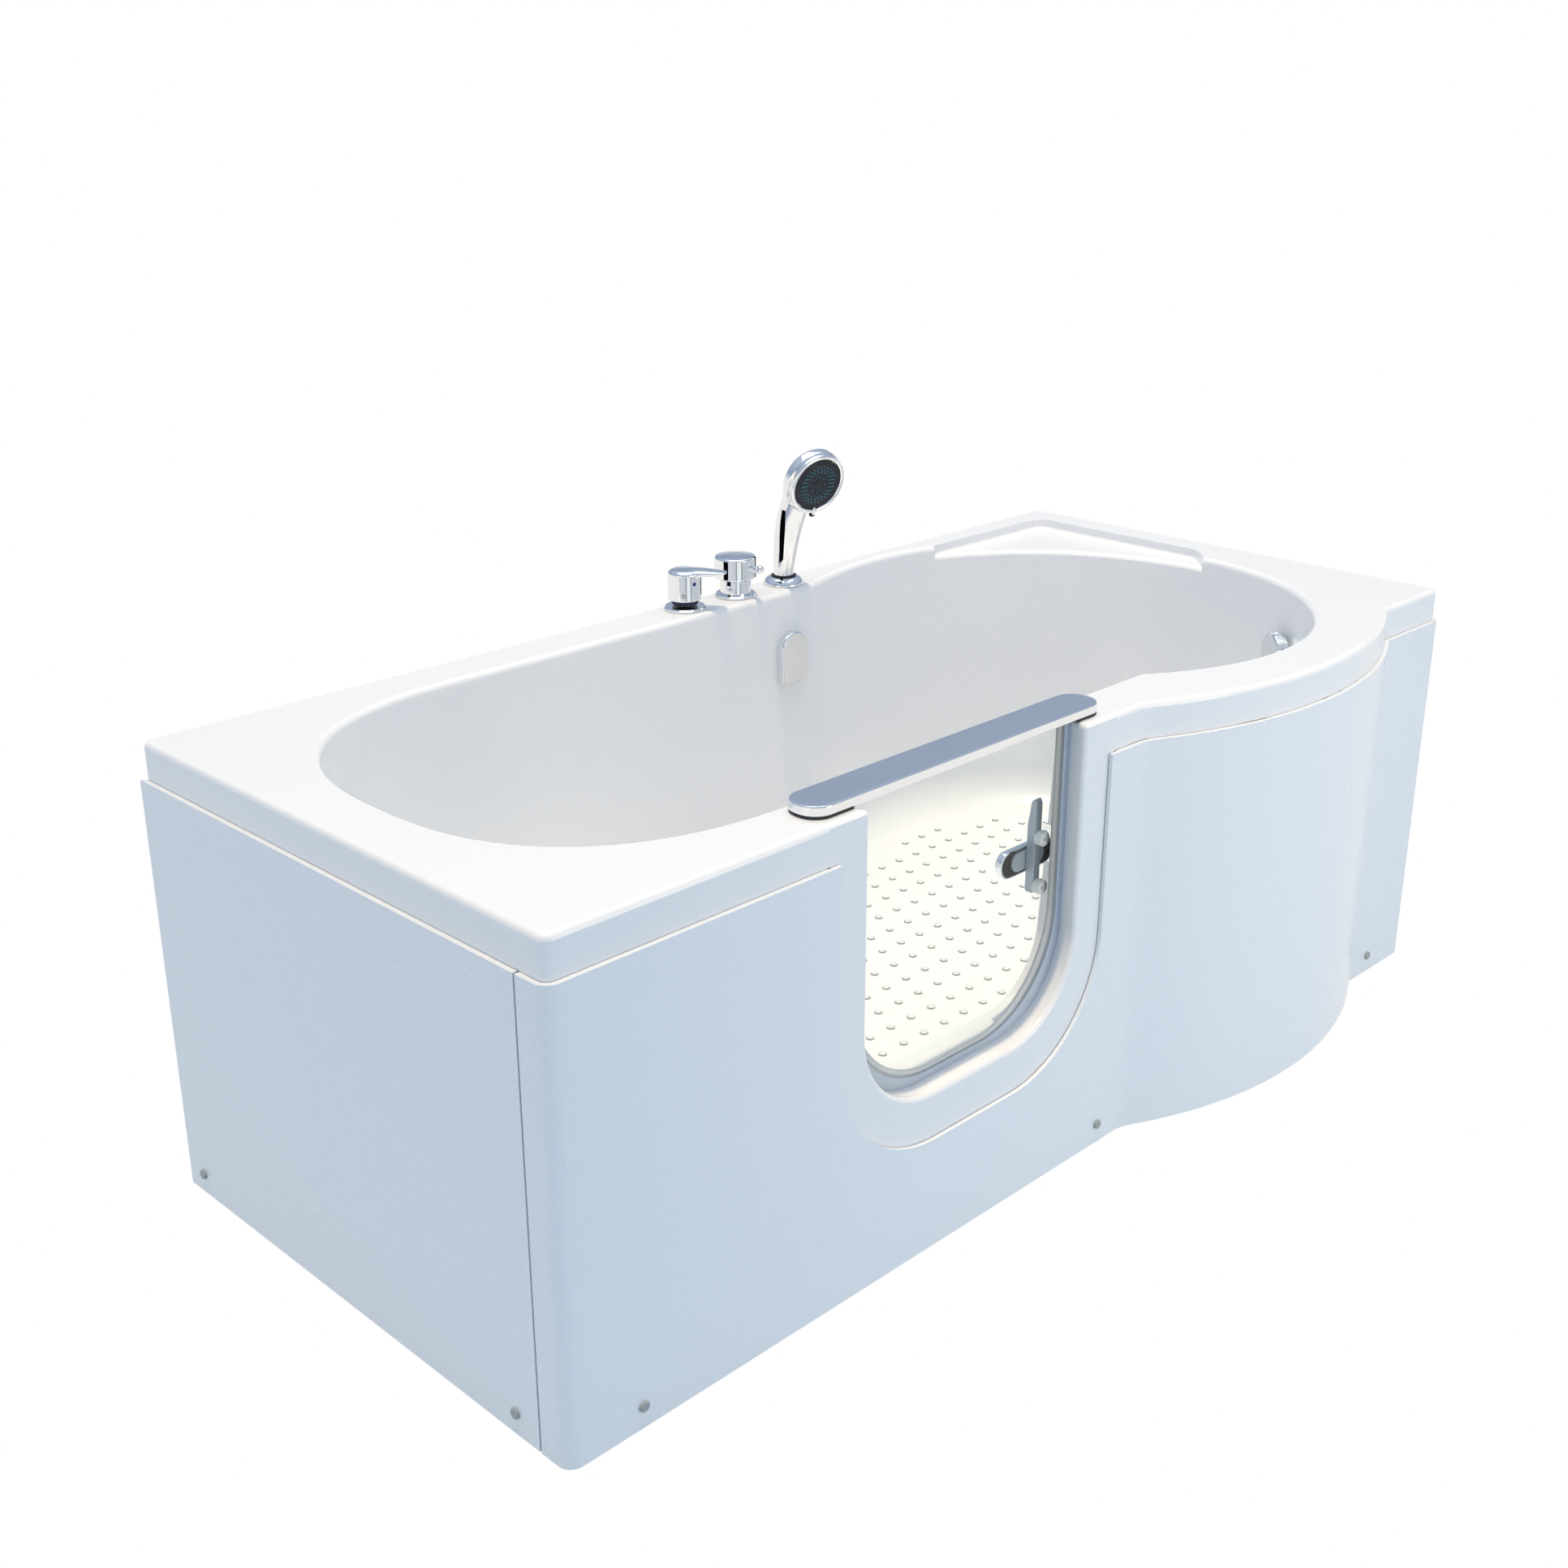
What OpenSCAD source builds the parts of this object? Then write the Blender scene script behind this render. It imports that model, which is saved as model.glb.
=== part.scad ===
// Walk-in bath with a glazed door. A one-piece acrylic tub with a bowed foot end stands on a steel
// frame behind a front panel and an end panel. The glass door opens inwards on two hinges.
// Lengths are millimetres. Drawing axes: X from the left end of the rim, Y from the straight
// front line of the rim to the back, Z up from the floor. at_origin() then centres the bath.

/* [Tub] */
// Length of the tub over the rim
tub_l = 1700; // [1650:10:1800]
// Width of the tub over the rim, at its straight part
tub_w = 757; // [740:1:800]
// Height of the rim above the floor
rim_z = 600; // [585:1:640]
// Height of the bath's floor above the room's floor
floor_z = 150; // [148:1:165]
// Thickness of the acrylic and its backing
shell_t = 7; // [5:0.5:8]
// Height of the rim's skirt
skirt_h = 48; // [40:1:60]
// Radius of the rim's corners in plan
corner_r = 12; // [11:1:16]
// Radius of the rim's top edge
edge_r = 8; // [4:1:10]
// Radius where the rim turns down into the bowl
lip_r = 9; // [4:1:12]

/* [Bow of the front] */
// Distance of the bow's middle from the right end
bow_right = 455; // [445:5:480]
// Half the length of the bow's chord
bow_half = 300; // [280:5:310]
// How far the bow stands out of the front line
bow_out = 77; // [60:1:85]
// Softness of the bow's left end
bow_soft_left = 10; // [6:1:14]
// Softness of the bow's right end
bow_soft_right = 4; // [3:0.5:6]

/* [Bowl] */
// Width of the rim at the left end
ledge_left = 74; // [65:1:90]
// Width of the rim at the right end
ledge_right = 87; // [80:1:100]
// Width of the rim along the door
ledge_front = 72; // [66:1:76]
// Width of the tap ledge
ledge_back = 69; // [68:1:75]
// Width of the rim behind the wide end of the bowl
ledge_wide = 27; // [22:1:32]
// Length of the rounded head end
head_round = 340; // [320:5:350]
// Length of the rounded foot end
foot_round = 355; // [340:5:360]
// Squareness of the head end, 2 being an ellipse
head_power = 2.5; // [2:0.1:3]
// Length over which the wide end swells out at the front
swell_front = 368; // [355:1:380]
// Length over which the wide end swells out at the back
swell_back = 450; // [420:5:470]
// Inward slope of the walls over their height
wall_draft = 25; // [15:1:35]
// Extra slope of the backrest at the head end
backrest_draft = 120; // [80:5:130]
// Radius between the walls and the floor
cove_r = 60; // [45:1:70]

/* [Corner shelf] */
// Depth of the shelf let into the rim
shelf_depth = 16; // [10:1:20]
// Width of the rim left behind the shelf
shelf_back = 43; // [38:1:50]
// Width of the rim left beside the shelf
shelf_side = 50; // [45:1:60]
// Length of the shelf along the back
shelf_run = 334; // [300:1:350]
// Length of the shelf along the end
shelf_drop = 365; // [350:1:380]

/* [Doorway] */
// Distance of the doorway's middle from the left end
door_x = 630.5; // [610:0.5:640]
// Clear width of the doorway
door_w = 382; // [360:1:386]
// Height of the sill above the floor
sill_z = 209; // [209:1:220]
// Radius of the doorway's lower corners
door_r = 120; // [100:1:130]
// Radius of the doorway's outer edge
door_edge_r = 6; // [3:1:8]
// Depth of the reveal, from the front to the seal's landing
reveal_d = 28; // [26:1:30]
// Widening of the reveal over its depth
reveal_draft = 7; // [4:1:8]
// Width on each side of the rebate that the door stands in, beyond the doorway
rebate_side = 44.5; // [43:0.5:48]
// Drop of the rebate's floor below the sill
rebate_drop = 14; // [13:1:16]
// Face width of the metal profile on the landing
profile_w = 10; // [8:0.5:15]
// Height of the metal profile above the sill
profile_rise = 9; // [7:0.5:10]
// Thickness of the metal profile
profile_t = 3; // [2:0.5:3]

/* [Panels] */
// Thickness of the panels
panel_t = 5; // [3:0.5:6]
// Gap between the panels and the skirt
panel_gap = 1; // [0.5:0.5:2]
// Length of the front panel's returns round the ends
panel_return = 45; // [35:1:60]
// Gap between the front panel and the end panel
panel_joint = 3; // [1:0.5:5]
// Thickness of the panels' top lip under the skirt
panel_lip_t = 3; // [2:0.5:4]
// Depth of the panels' top lip
panel_lip_d = 20; // [12:1:24]
// Width of the skirt's band that shows round the doorway
band_w = 49; // [44:0.5:52]
// Height of the band's lower edge above the floor
band_z = 149; // [145:1:155]
// Radius of the panel's cut-out at its lower corners
band_r = 168; // [150:1:175]
// Height of the panel screws
screw_z = 28; // [24:1:36]
// Distance of the left screw of the front panel from the left end
screw_left = 95; // [80:1:110]
// Distance of the middle screw from the panel's cut-out
screw_past_door = 16.5; // [14:0.5:20]
// Distance of the right screw from the right end
screw_right = 104; // [90:1:110]
// Distance of the end panel's first screw from the front line
screw_end = 80; // [76:1:90]
// Distance of the end panel's second screw from the back
screw_back = 36; // [32:1:50]
// Width of the floor brackets
bracket_w = 40; // [34:1:44]
// Diameter of the screw caps
cap_d = 13; // [10:1:16]

/* [Frame and feet] */
// Side of the square frame tube
tube_s = 30; // [28:1:30]
// Wall of the frame tube
tube_t = 2; // [1.5:0.5:3]
// Thickness of the board bonded under the bath's floor
board_t = 15; // [12:1:15]
// Length of the board
board_l = 1000; // [900:10:1050]
// Width of the board
board_w = 360; // [300:10:400]
// Reach of the board past the foot end's centre
board_past = 200; // [180:5:220]
// Distance of the first cross bar from the left end
bar_left = 220; // [200:5:240]
// Distance of the second cross bar from the left end
bar_mid = 720; // [700:5:740]
// Distance of the third cross bar from the right end
bar_foot = 410; // [400:5:430]
// Distance of the last cross bar from the right end
bar_right = 80; // [70:2:90]
// Distance of the front long rail from the front line
rail_front = 165; // [155:1:175]
// Distance of the back long rail from the back
rail_back = 190; // [180:1:200]
// Distance of the front feet from the front line
foot_front_in = 88; // [80:1:96]
// Distance of the back feet from the back
foot_back_in = 92; // [84:1:100]
// Diameter of the foot stems
stem_d = 12; // [10:1:14]
// Diameter of the foot pads
pad_d = 50; // [40:1:60]
// Height of the foot pads
pad_h = 14; // [10:1:16]

/* [Waste and overflow] */
// Distance of the waste from the right end
waste_right = 300; // [290:5:320]
// Diameter of the waste hole in the floor
waste_hole_d = 52; // [50:1:54]
// Diameter of the waste's flange
waste_flange_d = 72; // [68:1:80]
// Diameter of the outlet pipe
outlet_d = 40; // [36:1:40]
// Radius of the trap's bend, at the pipe's centre
trap_r = 30; // [28:1:30]
// Lift of the plug
plug_lift = 8; // [4:1:10]
// Depth of the overflow's middle below the rim
overflow_drop = 100; // [90:5:120]
// Angle of the overflow round the foot end, from the end's axis towards the front
overflow_angle = 36.8; // [34:0.1:40]
// Diameter of the overflow's knob
knob_d = 68; // [60:1:74]
// Diameter of the overflow pipe
overflow_pipe_d = 28; // [24:1:28]

/* [Taps] */
// Distance of the mixer from the middle of the bowl's foot end
mixer_dx = 428; // [423:1:433]
// Pitch of the deck fittings
tap_pitch = 101; // [100:1:105]
// Distance of the deck fittings from the back edge
tap_back = 35; // [34:0.5:37]
// Diameter of the fittings' base rings
ring_d = 61; // [56:1:62]
// Height of the fittings' base rings
ring_h = 5; // [3:0.5:5]
// Diameter of the mixer's handle
handle_d = 49; // [46:1:52]
// Height of the mixer handle's cap
handle_h = 44; // [42:1:48]
// Reach of the mixer lever from its axis
lever_reach = 61; // [55:1:64]
// Diameter of the mixer's temperature dot
dot_d = 5.5; // [4:0.5:7]
// Diameter of the mixer's grub screw
grub_d = 7; // [4:0.5:8]
// Diameter of the mixer's ball
ball_d = 42; // [40:1:42]
// Diameter of the diverter's cap
diverter_d = 62; // [58:1:64]
// Height of the diverter's cap
diverter_h = 34; // [30:1:38]
// Diameter of the diverter's neck
neck_d = 46; // [40:1:50]
// Height of the diverter's neck
neck_h = 22; // [18:1:26]
// Reach of the diverter's pin from its axis
pin_reach = 45; // [42:1:50]
// Diameter of the supply tails, for a half-inch pipe thread
tail_d = 20.96; // [20:0.01:21]
// Distance of the filler plate's middle from the diverter
filler_dx = 69; // [59:1:73]
// Width of the filler plate
filler_w = 54; // [48:1:60]
// Height of the filler plate
filler_h = 76; // [70:1:80]

/* [Hand shower] */
// Diameter of the handle where it stands in the holder
grip_d = 30; // [28:1:30]
// Diameter of the head
head_d = 98; // [90:1:102]
// Thickness of the head
head_t = 30; // [26:1:34]
// Diameter of the spray face
face_d = 78; // [74:1:86]
// Tilt of the face below the horizontal
face_tilt = 17; // [10:1:25]
// Turn of the hand shower from straight ahead, towards the left
shower_turn = 10; // [0:1:20]

/* [Door] */
// Thickness of the glass
glass_t = 8; // [6:1:8]
// Overlap of the glass behind the landing, on each side
glass_lap = 6; // [4:1:8]
// Width of the seal that shows inside the profile
seal_show = 9; // [7:0.5:18]
// Thickness of the seal in front of the glass
seal_t = 4.5; // [3:0.5:5]
// Reach of the top rail past the doorway, on each side
rail_over = 62.5; // [56:0.5:66]
// Width of the top rail
rail_w = 55; // [50:1:58]
// Thickness of the top rail
rail_t = 12; // [10:0.5:14]
// Thickness of the pads under the rail's ends
rail_pad_t = 3; // [2:0.5:4]
// Diameter of the hinge pins
hinge_pin_d = 8; // [6:0.5:9]
// Diameter of the hinge knuckles
knuckle_d = 16; // [14:0.5:17]
// Height of the lower hinge above the floor
hinge_low_z = 335; // [335:5:345]
// Height of the upper hinge above the floor
hinge_high_z = 500; // [480:5:510]

/* [Latch] */
// Distance of the latch's axis inside the doorway's right side
latch_in = 15.5; // [13:0.5:21]
// Height of the latch's axis above the floor
latch_z = 413; // [400:1:420]
// Length of the turn lever
lever_l = 104; // [98:1:106]
// Height of the keeper on the rebate's side
keeper_h = 50; // [44:1:56]
// Height of the turn lever's blade
lever_w = 36; // [30:1:40]
// Pitch of the two standoffs
standoff_pitch = 65; // [60:1:70]
// Diameter of the standoffs
standoff_d = 19; // [16:1:20]
// Length of the standoffs
standoff_l = 11; // [9:0.5:12]
// Width of the latch bar
bar_w = 13; // [11:0.5:14]
// Depth of the latch bar
bar_d = 12.5; // [10:0.5:13]

/* [Fits] */
// Gap between parts that pass each other
gap = 0.5; // [0.4:0.1:0.6]
// Radial clearance of pins and spindles in their bores
fit = 0.05; // [0.03:0.01:0.08]

/* [Hidden] */
$fn = 48;
eps = 0.01;
over = 60;                     // how far a cut runs past the faces it opens

// The bath's box: the panels and the bow reach past the rim.
proud = panel_t + panel_gap;
front_reach = bow_out + proud;
skirt_z = rim_z - skirt_h;

// The bowl in plan. Its head end is a superellipse and its foot end is an ellipse.
head_c = [ledge_left + head_round, (ledge_front + tub_w - ledge_back) / 2];
head_half = (tub_w - ledge_back - ledge_front) / 2;
foot_half = (tub_w - ledge_wide) / 2;
foot_c = [tub_l - ledge_right - foot_round, foot_half];
swell_at_line = swell_front * sqrt(1 - pow((foot_half - ledge_front) / foot_half, 2));
kink_x = foot_c.x - swell_at_line;
bow_x = tub_l - bow_right;
bow_rad = (bow_half * bow_half + bow_out * bow_out) / (2 * bow_out);
bow_end = bow_x + bow_half;
bow_start = bow_x - bow_half;
wall_top = rim_z - lip_r;
lip_in = lip_r * 0.6;
wall_h = rim_z - floor_z;
skin_floor = floor_z - shell_t;

// The door, from the doorway.
land_w = door_w + 2 * reveal_draft;
land_y = reveal_d + profile_t;
rebate_w = door_w + 2 * rebate_side;
rebate_z = sill_z - rebate_drop;
rebate_r = door_r - 20;
rebate_end = ledge_front + lip_in + wall_draft + cove_r;
seal_y = land_y + gap;
glass_y = seal_y + seal_t;
glass_in = glass_y + glass_t;
glass_w = land_w + 2 * glass_lap;
seal_w = glass_w + 6;
seal_z = sill_z - glass_lap - 3;
glass_top = rim_z + gap + rail_pad_t + rail_t / 2;
hinge_x = door_x - seal_w / 2 - 15;
hinge_y = glass_in + 12;
rebate_x = door_x - rebate_w / 2;
leaf_h = 40;
leaf_l = 55;
leaf_t = 6;
leaf_screws = [leaf_l - 21, leaf_l - 7];
ear_t = 6;

// The latch, inside the glass.
latch_x = door_x + door_w / 2 - latch_in;
bar_y = glass_in + standoff_l;
hub_y = bar_y + bar_d;
hub_t = 2.5;
blade_y = hub_y + hub_t;
blade_t = 14;
spindle_d = 9;

// The deck fittings.
mixer_x = foot_c.x - mixer_dx;
tap_y = tub_w - tap_back;
diverter_x = mixer_x + tap_pitch;
shower_x = mixer_x + 2 * tap_pitch;
ball_z = rim_z + ring_h + 13;
handle_z = ball_z - 3;
lever_angle = -45;
pin_angle = -76;
cap_z = rim_z + ring_h + neck_h + gap;
valve_top = rim_z - shell_t - 18;
valve_h = 44;
link_z = valve_top - 28;
valve_d = 40;
valve_l = 76;
link_in = 11;
deck_hole_d = 34;
guide_d = 38;
filler_x = diverter_x + filler_dx;
filler_z = rim_z - 98;
shower_z = rim_z + 12;

// The frame, from the bath's floor down.
board_z = skin_floor - board_t;
bar_z = board_z - tube_s;
rail_z = bar_z - tube_s;
bar_xs = [bar_left, bar_mid, tub_l - bar_foot, tub_l - bar_right];
rail_ys = [rail_front, tub_w - rail_back];
foot_ys = [foot_front_in, tub_w - foot_back_in];
post_d = shelf_back - 2 * shell_t - 4;
post_front_y = 20;
post_back_y = tub_w - shelf_back + shell_t + 1.5;
bar_ys = [post_front_y, post_back_y + post_d];

// The waste and the overflow.
waste_x = tub_l - waste_right;
waste_y = foot_half;
trap_z = trap_r + outlet_d / 2 + 3;
elbow_r = 22;
trap_d = outlet_d - 2;
outlet_z = trap_z + elbow_r;
body_z = trap_z + 34;
overflow_z = rim_z - overflow_drop;
overflow_dir = -overflow_angle;
inlet_z = board_z - tube_s / 2;

// ---------------------------------------------------------------- helpers

// Puts the drawing's axes at the middle of the bath's footprint.
module at_origin()
    translate([-tub_l / 2, -(tub_w + front_reach) / 2 + front_reach, 0]) children();

function lerp(a, b, t) = a + (b - a) * t;
function steps(a, b, n) = [for (k = [0 : n]) lerp(a, b, k / n)];
function smooth_max(a, b, k) = max(a, b) + pow(max(k - abs(a - b), 0), 2) / (4 * k);

// Points of an arc about c, from angle a0 to a1.
function arc(c, r, a0, a1, n) = [for (a = steps(a0, a1, n)) c + r * [cos(a), sin(a)]];

// The unit normal, to the right of travel, at point i of a closed outline.
function outline_normal(pts, i) =
    let (n = len(pts), d = pts[(i + 1) % n] - pts[(i + n - 1) % n])
    [d.y, -d.x] / norm(d);

// An outline moved outwards by d. Its points run anticlockwise.
function grown(pts, d) = [for (i = [0 : len(pts) - 1]) pts[i] + d * outline_normal(pts, i)];

// A closed solid through rings of equal length, given from the lowest up.
module loft(rings) {
    n = len(rings[0]);
    m = len(rings);
    polyhedron(
        points = [for (r = rings) each r],
        faces = concat(
            [[for (i = [0 : n - 1]) i]],
            [for (j = [0 : m - 2], i = [0 : n - 1])
                each [[j * n + i, (j + 1) * n + i, (j + 1) * n + (i + 1) % n],
                      [j * n + i, (j + 1) * n + (i + 1) % n, j * n + (i + 1) % n]]],
            [[for (i = [n - 1 : -1 : 0]) (m - 1) * n + i]]
        ),
        convexity = 10
    );
}

function at_height(pts, z) = [for (p = pts) [p.x, p.y, z]];

// A doorway shape in the XZ plane: width w about the doorway's middle, lower edge z0 with
// corners of radius r, straight up to z1. It is extruded from y0 to y1.
module doorway(w, z0, r, z1, y0, y1, n = 12)
    translate([door_x, y1, 0]) rotate([90, 0, 0]) linear_extrude(y1 - y0)
        polygon(concat(
            arc([-w / 2 + r, z0 + r], r, 180, 270, n),
            arc([w / 2 - r, z0 + r], r, 270, 360, n),
            [[w / 2, z1], [-w / 2, z1]]
        ));

// A tube of wall t along +Z, and the same along +X.
module tube(d, t, l)
    difference() {
        cylinder(d = d, h = l);
        translate([0, 0, -1]) cylinder(d = d - 2 * t, h = l + 2);
    }
module pipe(d, t, l) rotate([0, 90, 0]) tube(d, t, l);

// A hexagon nut with its lower face at z = 0.
module nut(across, h, bore)
    difference() {
        cylinder(d = across / cos(30), h = h, $fn = 6);
        translate([0, 0, -1]) cylinder(d = bore, h = h + 2);
    }

// Turns a Z axis to point along -Y, at a point of the door.
module facing_front(x, y, z) translate([x, y, z]) rotate([90, 0, 0]) children();

// ---------------------------------------------------------------- outlines of the tub

// How far the front stands out of its straight line at x.
function bow(x) =
    let (dx = x - bow_x, h = abs(dx) < bow_rad
        ? sqrt(bow_rad * bow_rad - dx * dx) - bow_rad + bow_out : -bow_rad)
    smooth_max(h, 0, dx < 0 ? bow_soft_left : bow_soft_right);

// Where a ray from c at angle a meets the rim's rectangle.
function on_box(c, a) =
    let (tx = cos(a) > eps ? (tub_l - c.x) / cos(a) : cos(a) < -eps ? -c.x / cos(a) : tub_l * 2,
         ty = sin(a) > eps ? (tub_w - c.y) / sin(a) : sin(a) < -eps ? -c.y / sin(a) : tub_l * 2)
    c + min(tx, ty) * [cos(a), sin(a)];

function to_rim(c, angles) =
    [for (a = angles) let (p = on_box(c, a)) p.y < eps ? [p.x, -bow(p.x)] : p];
function angle_to(c, p) = atan2(p.y - c.y, p.x - c.x);
function corner(x, y, a) = arc([x, y], corner_r, a, a + 90, 4);

// The stations of the rim, anticlockwise from the back of the head end. Each end is swept by
// angle about its own centre, so that the bowl's stations face them.
corner_gap = 2.5;
head_back = angle_to(head_c, [0, tub_w]);
head_front = angle_to(head_c, [0, 0]) + 360;
foot_front = angle_to(foot_c, [tub_l, 0]);
foot_back = angle_to(foot_c, [tub_l, tub_w]);
function foot_angle(x) = angle_to(foot_c, [x, 0]);
function on_front(xs) = [for (x = xs) [x, -bow(x)]];
function on_back(xs) = [for (x = xs) [x, tub_w]];

rim_line = concat(
    to_rim(head_c, steps(90, head_back - corner_gap, 9)),
    corner(corner_r, tub_w - corner_r, 90),
    to_rim(head_c, steps(head_back + corner_gap, head_front - corner_gap, 17)),
    corner(corner_r, corner_r, 180),
    to_rim(head_c, steps(head_front + corner_gap, 270, 9)),
    on_front(steps(head_c.x + 60, bow_start - 28, 7)),
    on_front(steps(bow_start - 14, bow_start + 28, 3)),
    on_front(steps(bow_start + 52, kink_x - 22, 1)),
    on_front(steps(kink_x, foot_c.x - 22, 9)),
    to_rim(foot_c, steps(-90, foot_angle(bow_end - 16), 12)),
    to_rim(foot_c, [for (dx = [-8, -4, 0, 4, 8]) foot_angle(bow_end + dx)]),
    to_rim(foot_c, steps(foot_angle(bow_end + 20), foot_front - corner_gap, 3)),
    corner(tub_l - corner_r, corner_r, 270),
    to_rim(foot_c, steps(foot_front + corner_gap, foot_back - corner_gap, 17)),
    corner(tub_l - corner_r, tub_w - corner_r, 0),
    to_rim(foot_c, steps(foot_back + corner_gap, 90, 9)),
    on_back(steps(foot_c.x - 24, head_c.x + 20, 20))
);
function rim_ring(z, inset) = at_height(grown(rim_line, -inset), z);

// The bowl's station that faces station p of the rim, with its sides moved in by e and its head
// end by h.
function bowl_point(p, e, h) =
    p.x <= head_c.x
        ? let (a = angle_to(head_c, p), ax = head_round - h, ay = head_half - e,
               r = pow(pow(abs(cos(a)) / ax, head_power) + pow(abs(sin(a)) / ay, head_power),
                       -1 / head_power))
          head_c + r * [cos(a), sin(a)]
    : p.x >= foot_c.x
        ? let (a = angle_to(foot_c, [p.x, max(p.y, 0)]))
          foot_c + [cos(a), sin(a)]
              / sqrt(pow(cos(a) / (foot_round - e), 2) + pow(sin(a) / (foot_half - e), 2))
    : let (dx = foot_c.x - p.x, half = foot_half - e)
      p.y < tub_w / 2
        ? [p.x, min(ledge_front + e,
                    dx < swell_front - e
                        ? foot_c.y - half * sqrt(1 - pow(dx / (swell_front - e), 2)) : tub_w)]
        : [p.x, smooth_max(tub_w - ledge_back - e,
                           dx < swell_back
                               ? foot_c.y + half * sqrt(1 - pow(dx / swell_back, 2)) : 0, 8)];
function bowl_ring(z, e, h) = at_height([for (p = rim_line) bowl_point(p, e, h)], z);

// Slope of the wall at height z: its share of the whole draft.
function wall_share(z) = (wall_top - z) / wall_h;
function wall_in(z) = wall_draft * max(wall_share(z), 0);
function ring_at(z, extra, grow) =
    bowl_ring(z, lip_in + wall_in(z) + extra - grow,
              lip_in + wall_in(z) + backrest_draft * max(wall_share(z), 0) + extra * 1.5 - grow);

// Rings of a bowl: the floor, the cove, the wall and, above the rim, the rounded lip.
function cove_rings(z0, grow, n) =
    [for (a = steps(0, 90, n))
        ring_at(z0 + cove_r * (1 - cos(a)), cove_r * (1 - sin(a)), grow)];

// ---------------------------------------------------------------- tub

module bowl_cavity()
    loft(concat(
        cove_rings(floor_z, 0, 6),
        [for (t = [0.35, 0.7, 1]) ring_at(lerp(floor_z + cove_r, wall_top, t), 0, 0)],
        [for (a = [30, 60, 90]) ring_at(wall_top + lip_r * sin(a), 0, lip_r * (1 - cos(a)))],
        [ring_at(rim_z + 2, 0, lip_r)]
    ));

module bowl_skin()
    loft(concat(
        cove_rings(skin_floor, shell_t, 3),
        [for (t = [0.5, 1]) ring_at(lerp(skin_floor + cove_r, rim_z - shell_t, t), 0, shell_t)],
        [ring_at(rim_z - shell_t / 2, 0, shell_t)]
    ));

module rim_and_skirt()
    difference() {
        loft(concat(
            [rim_ring(skirt_z, 0)],
            [for (a = [0, 30, 60, 90])
                rim_ring(rim_z - edge_r * (1 - sin(a)), edge_r * (1 - cos(a)))]
        ));
        loft([rim_ring(skirt_z - 1, shell_t), rim_ring(rim_z - shell_t, shell_t)]);
    }

// The pocket of the corner shelf, grown by d all round and deeper by d.
module shelf_pocket(d, top)
    let (z = rim_z - shelf_depth - d, r = 18, x1 = tub_l - shelf_side, y1 = tub_w - shelf_back)
    hull() for (p = [[x1 - shelf_run + 50, y1], [x1, y1], [x1, y1 - shelf_drop + 43]])
        translate([p.x - r, p.y - r, z]) {
            cylinder(r1 = r - 5 + d, r2 = r + d, h = top - z, $fn = 24);
            translate([-90, -90, 0]) cylinder(r = r, h = top - z, $fn = 12);
        }

// The box round the doorway: the band at the front, the reveal, the landing and the rebate.
module door_surround() {
    top = rim_z - shell_t / 2;
    band = door_w + 2 * band_w + 24;
    doorway(band, band_z - 12, band_r + 8, top, 0, shell_t);
    doorway(door_w + 2 * shell_t + 8, sill_z - shell_t - 2, door_r + shell_t, top, 0, land_y);
    doorway(rebate_w + 2 * shell_t, rebate_z - shell_t, rebate_r + shell_t, top,
            land_y - shell_t - 3, rebate_end - cove_r / 2);
}

// The way through the surround. Each stretch of the reveal is cut between two doorway shapes.
module door_cut() {
    top = rim_z + over;
    reveal = concat(
        [for (a = steps(0, 90, 4)) [door_edge_r * (1 - cos(a)), door_edge_r * (1 - sin(a))]],
        [[reveal_d, reveal_draft]]
    );
    for (i = [0 : len(reveal) - 2]) hull() for (k = [i, i + 1]) reveal_slice(reveal[k], top);
    reveal_slice([-1, door_edge_r], top, 2);
    doorway(land_w, sill_z, door_r + reveal_draft, top, reveal_d - eps, land_y + 1);
    doorway(rebate_w, rebate_z, rebate_r, top, land_y, rebate_end);
}

// One thin slice of the reveal, s = [depth, widening].
module reveal_slice(s, top, t = eps)
    doorway(door_w + 2 * s[1], sill_z - (s[0] < door_edge_r + eps ? s[1] : 0),
            door_r + s[1], top, s[0], s[0] + t, 9);

module tub_shell() color("white") at_origin()
    difference() {
        union() {
            rim_and_skirt();
            bowl_skin();
            difference() {
                door_surround();
                translate([0, -over, rim_z - edge_r]) cube([tub_l, over, over]);
            }
            intersection() {
                shelf_pocket(shell_t, rim_z - shell_t / 2);
                translate([0, 0, skirt_z]) cube([tub_l, tub_w, skirt_h]);
            }
            // Two stiffening webs carry the rebate's floor down to the bath's floor.
            for (s = [-1, 1]) hull() {
                translate([door_x + s * 120 - 4, shell_t, rebate_z - shell_t - 20])
                    cube([8, 70, 20]);
                translate([door_x + s * 120 - 4, ledge_front, skin_floor]) cube([8, 60, 10]);
            }
        }
        bowl_cavity();
        door_cut();
        shelf_pocket(0, rim_z + 2);
        for (x = [mixer_x, diverter_x])
            translate([x, tap_y, rim_z - over]) cylinder(d = deck_hole_d, h = 2 * over);
        translate([shower_x, tap_y, rim_z - over]) cylinder(d = guide_d + 1, h = 2 * over);
        translate([waste_x, waste_y, floor_z - over]) cylinder(d = waste_hole_d, h = 2 * over);
        overflow_place(-over) cylinder(d = 40, h = 2 * over);
        at_wall(-30) cylinder(d = 24, h = over);
    }

// ---------------------------------------------------------------- panels

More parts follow.
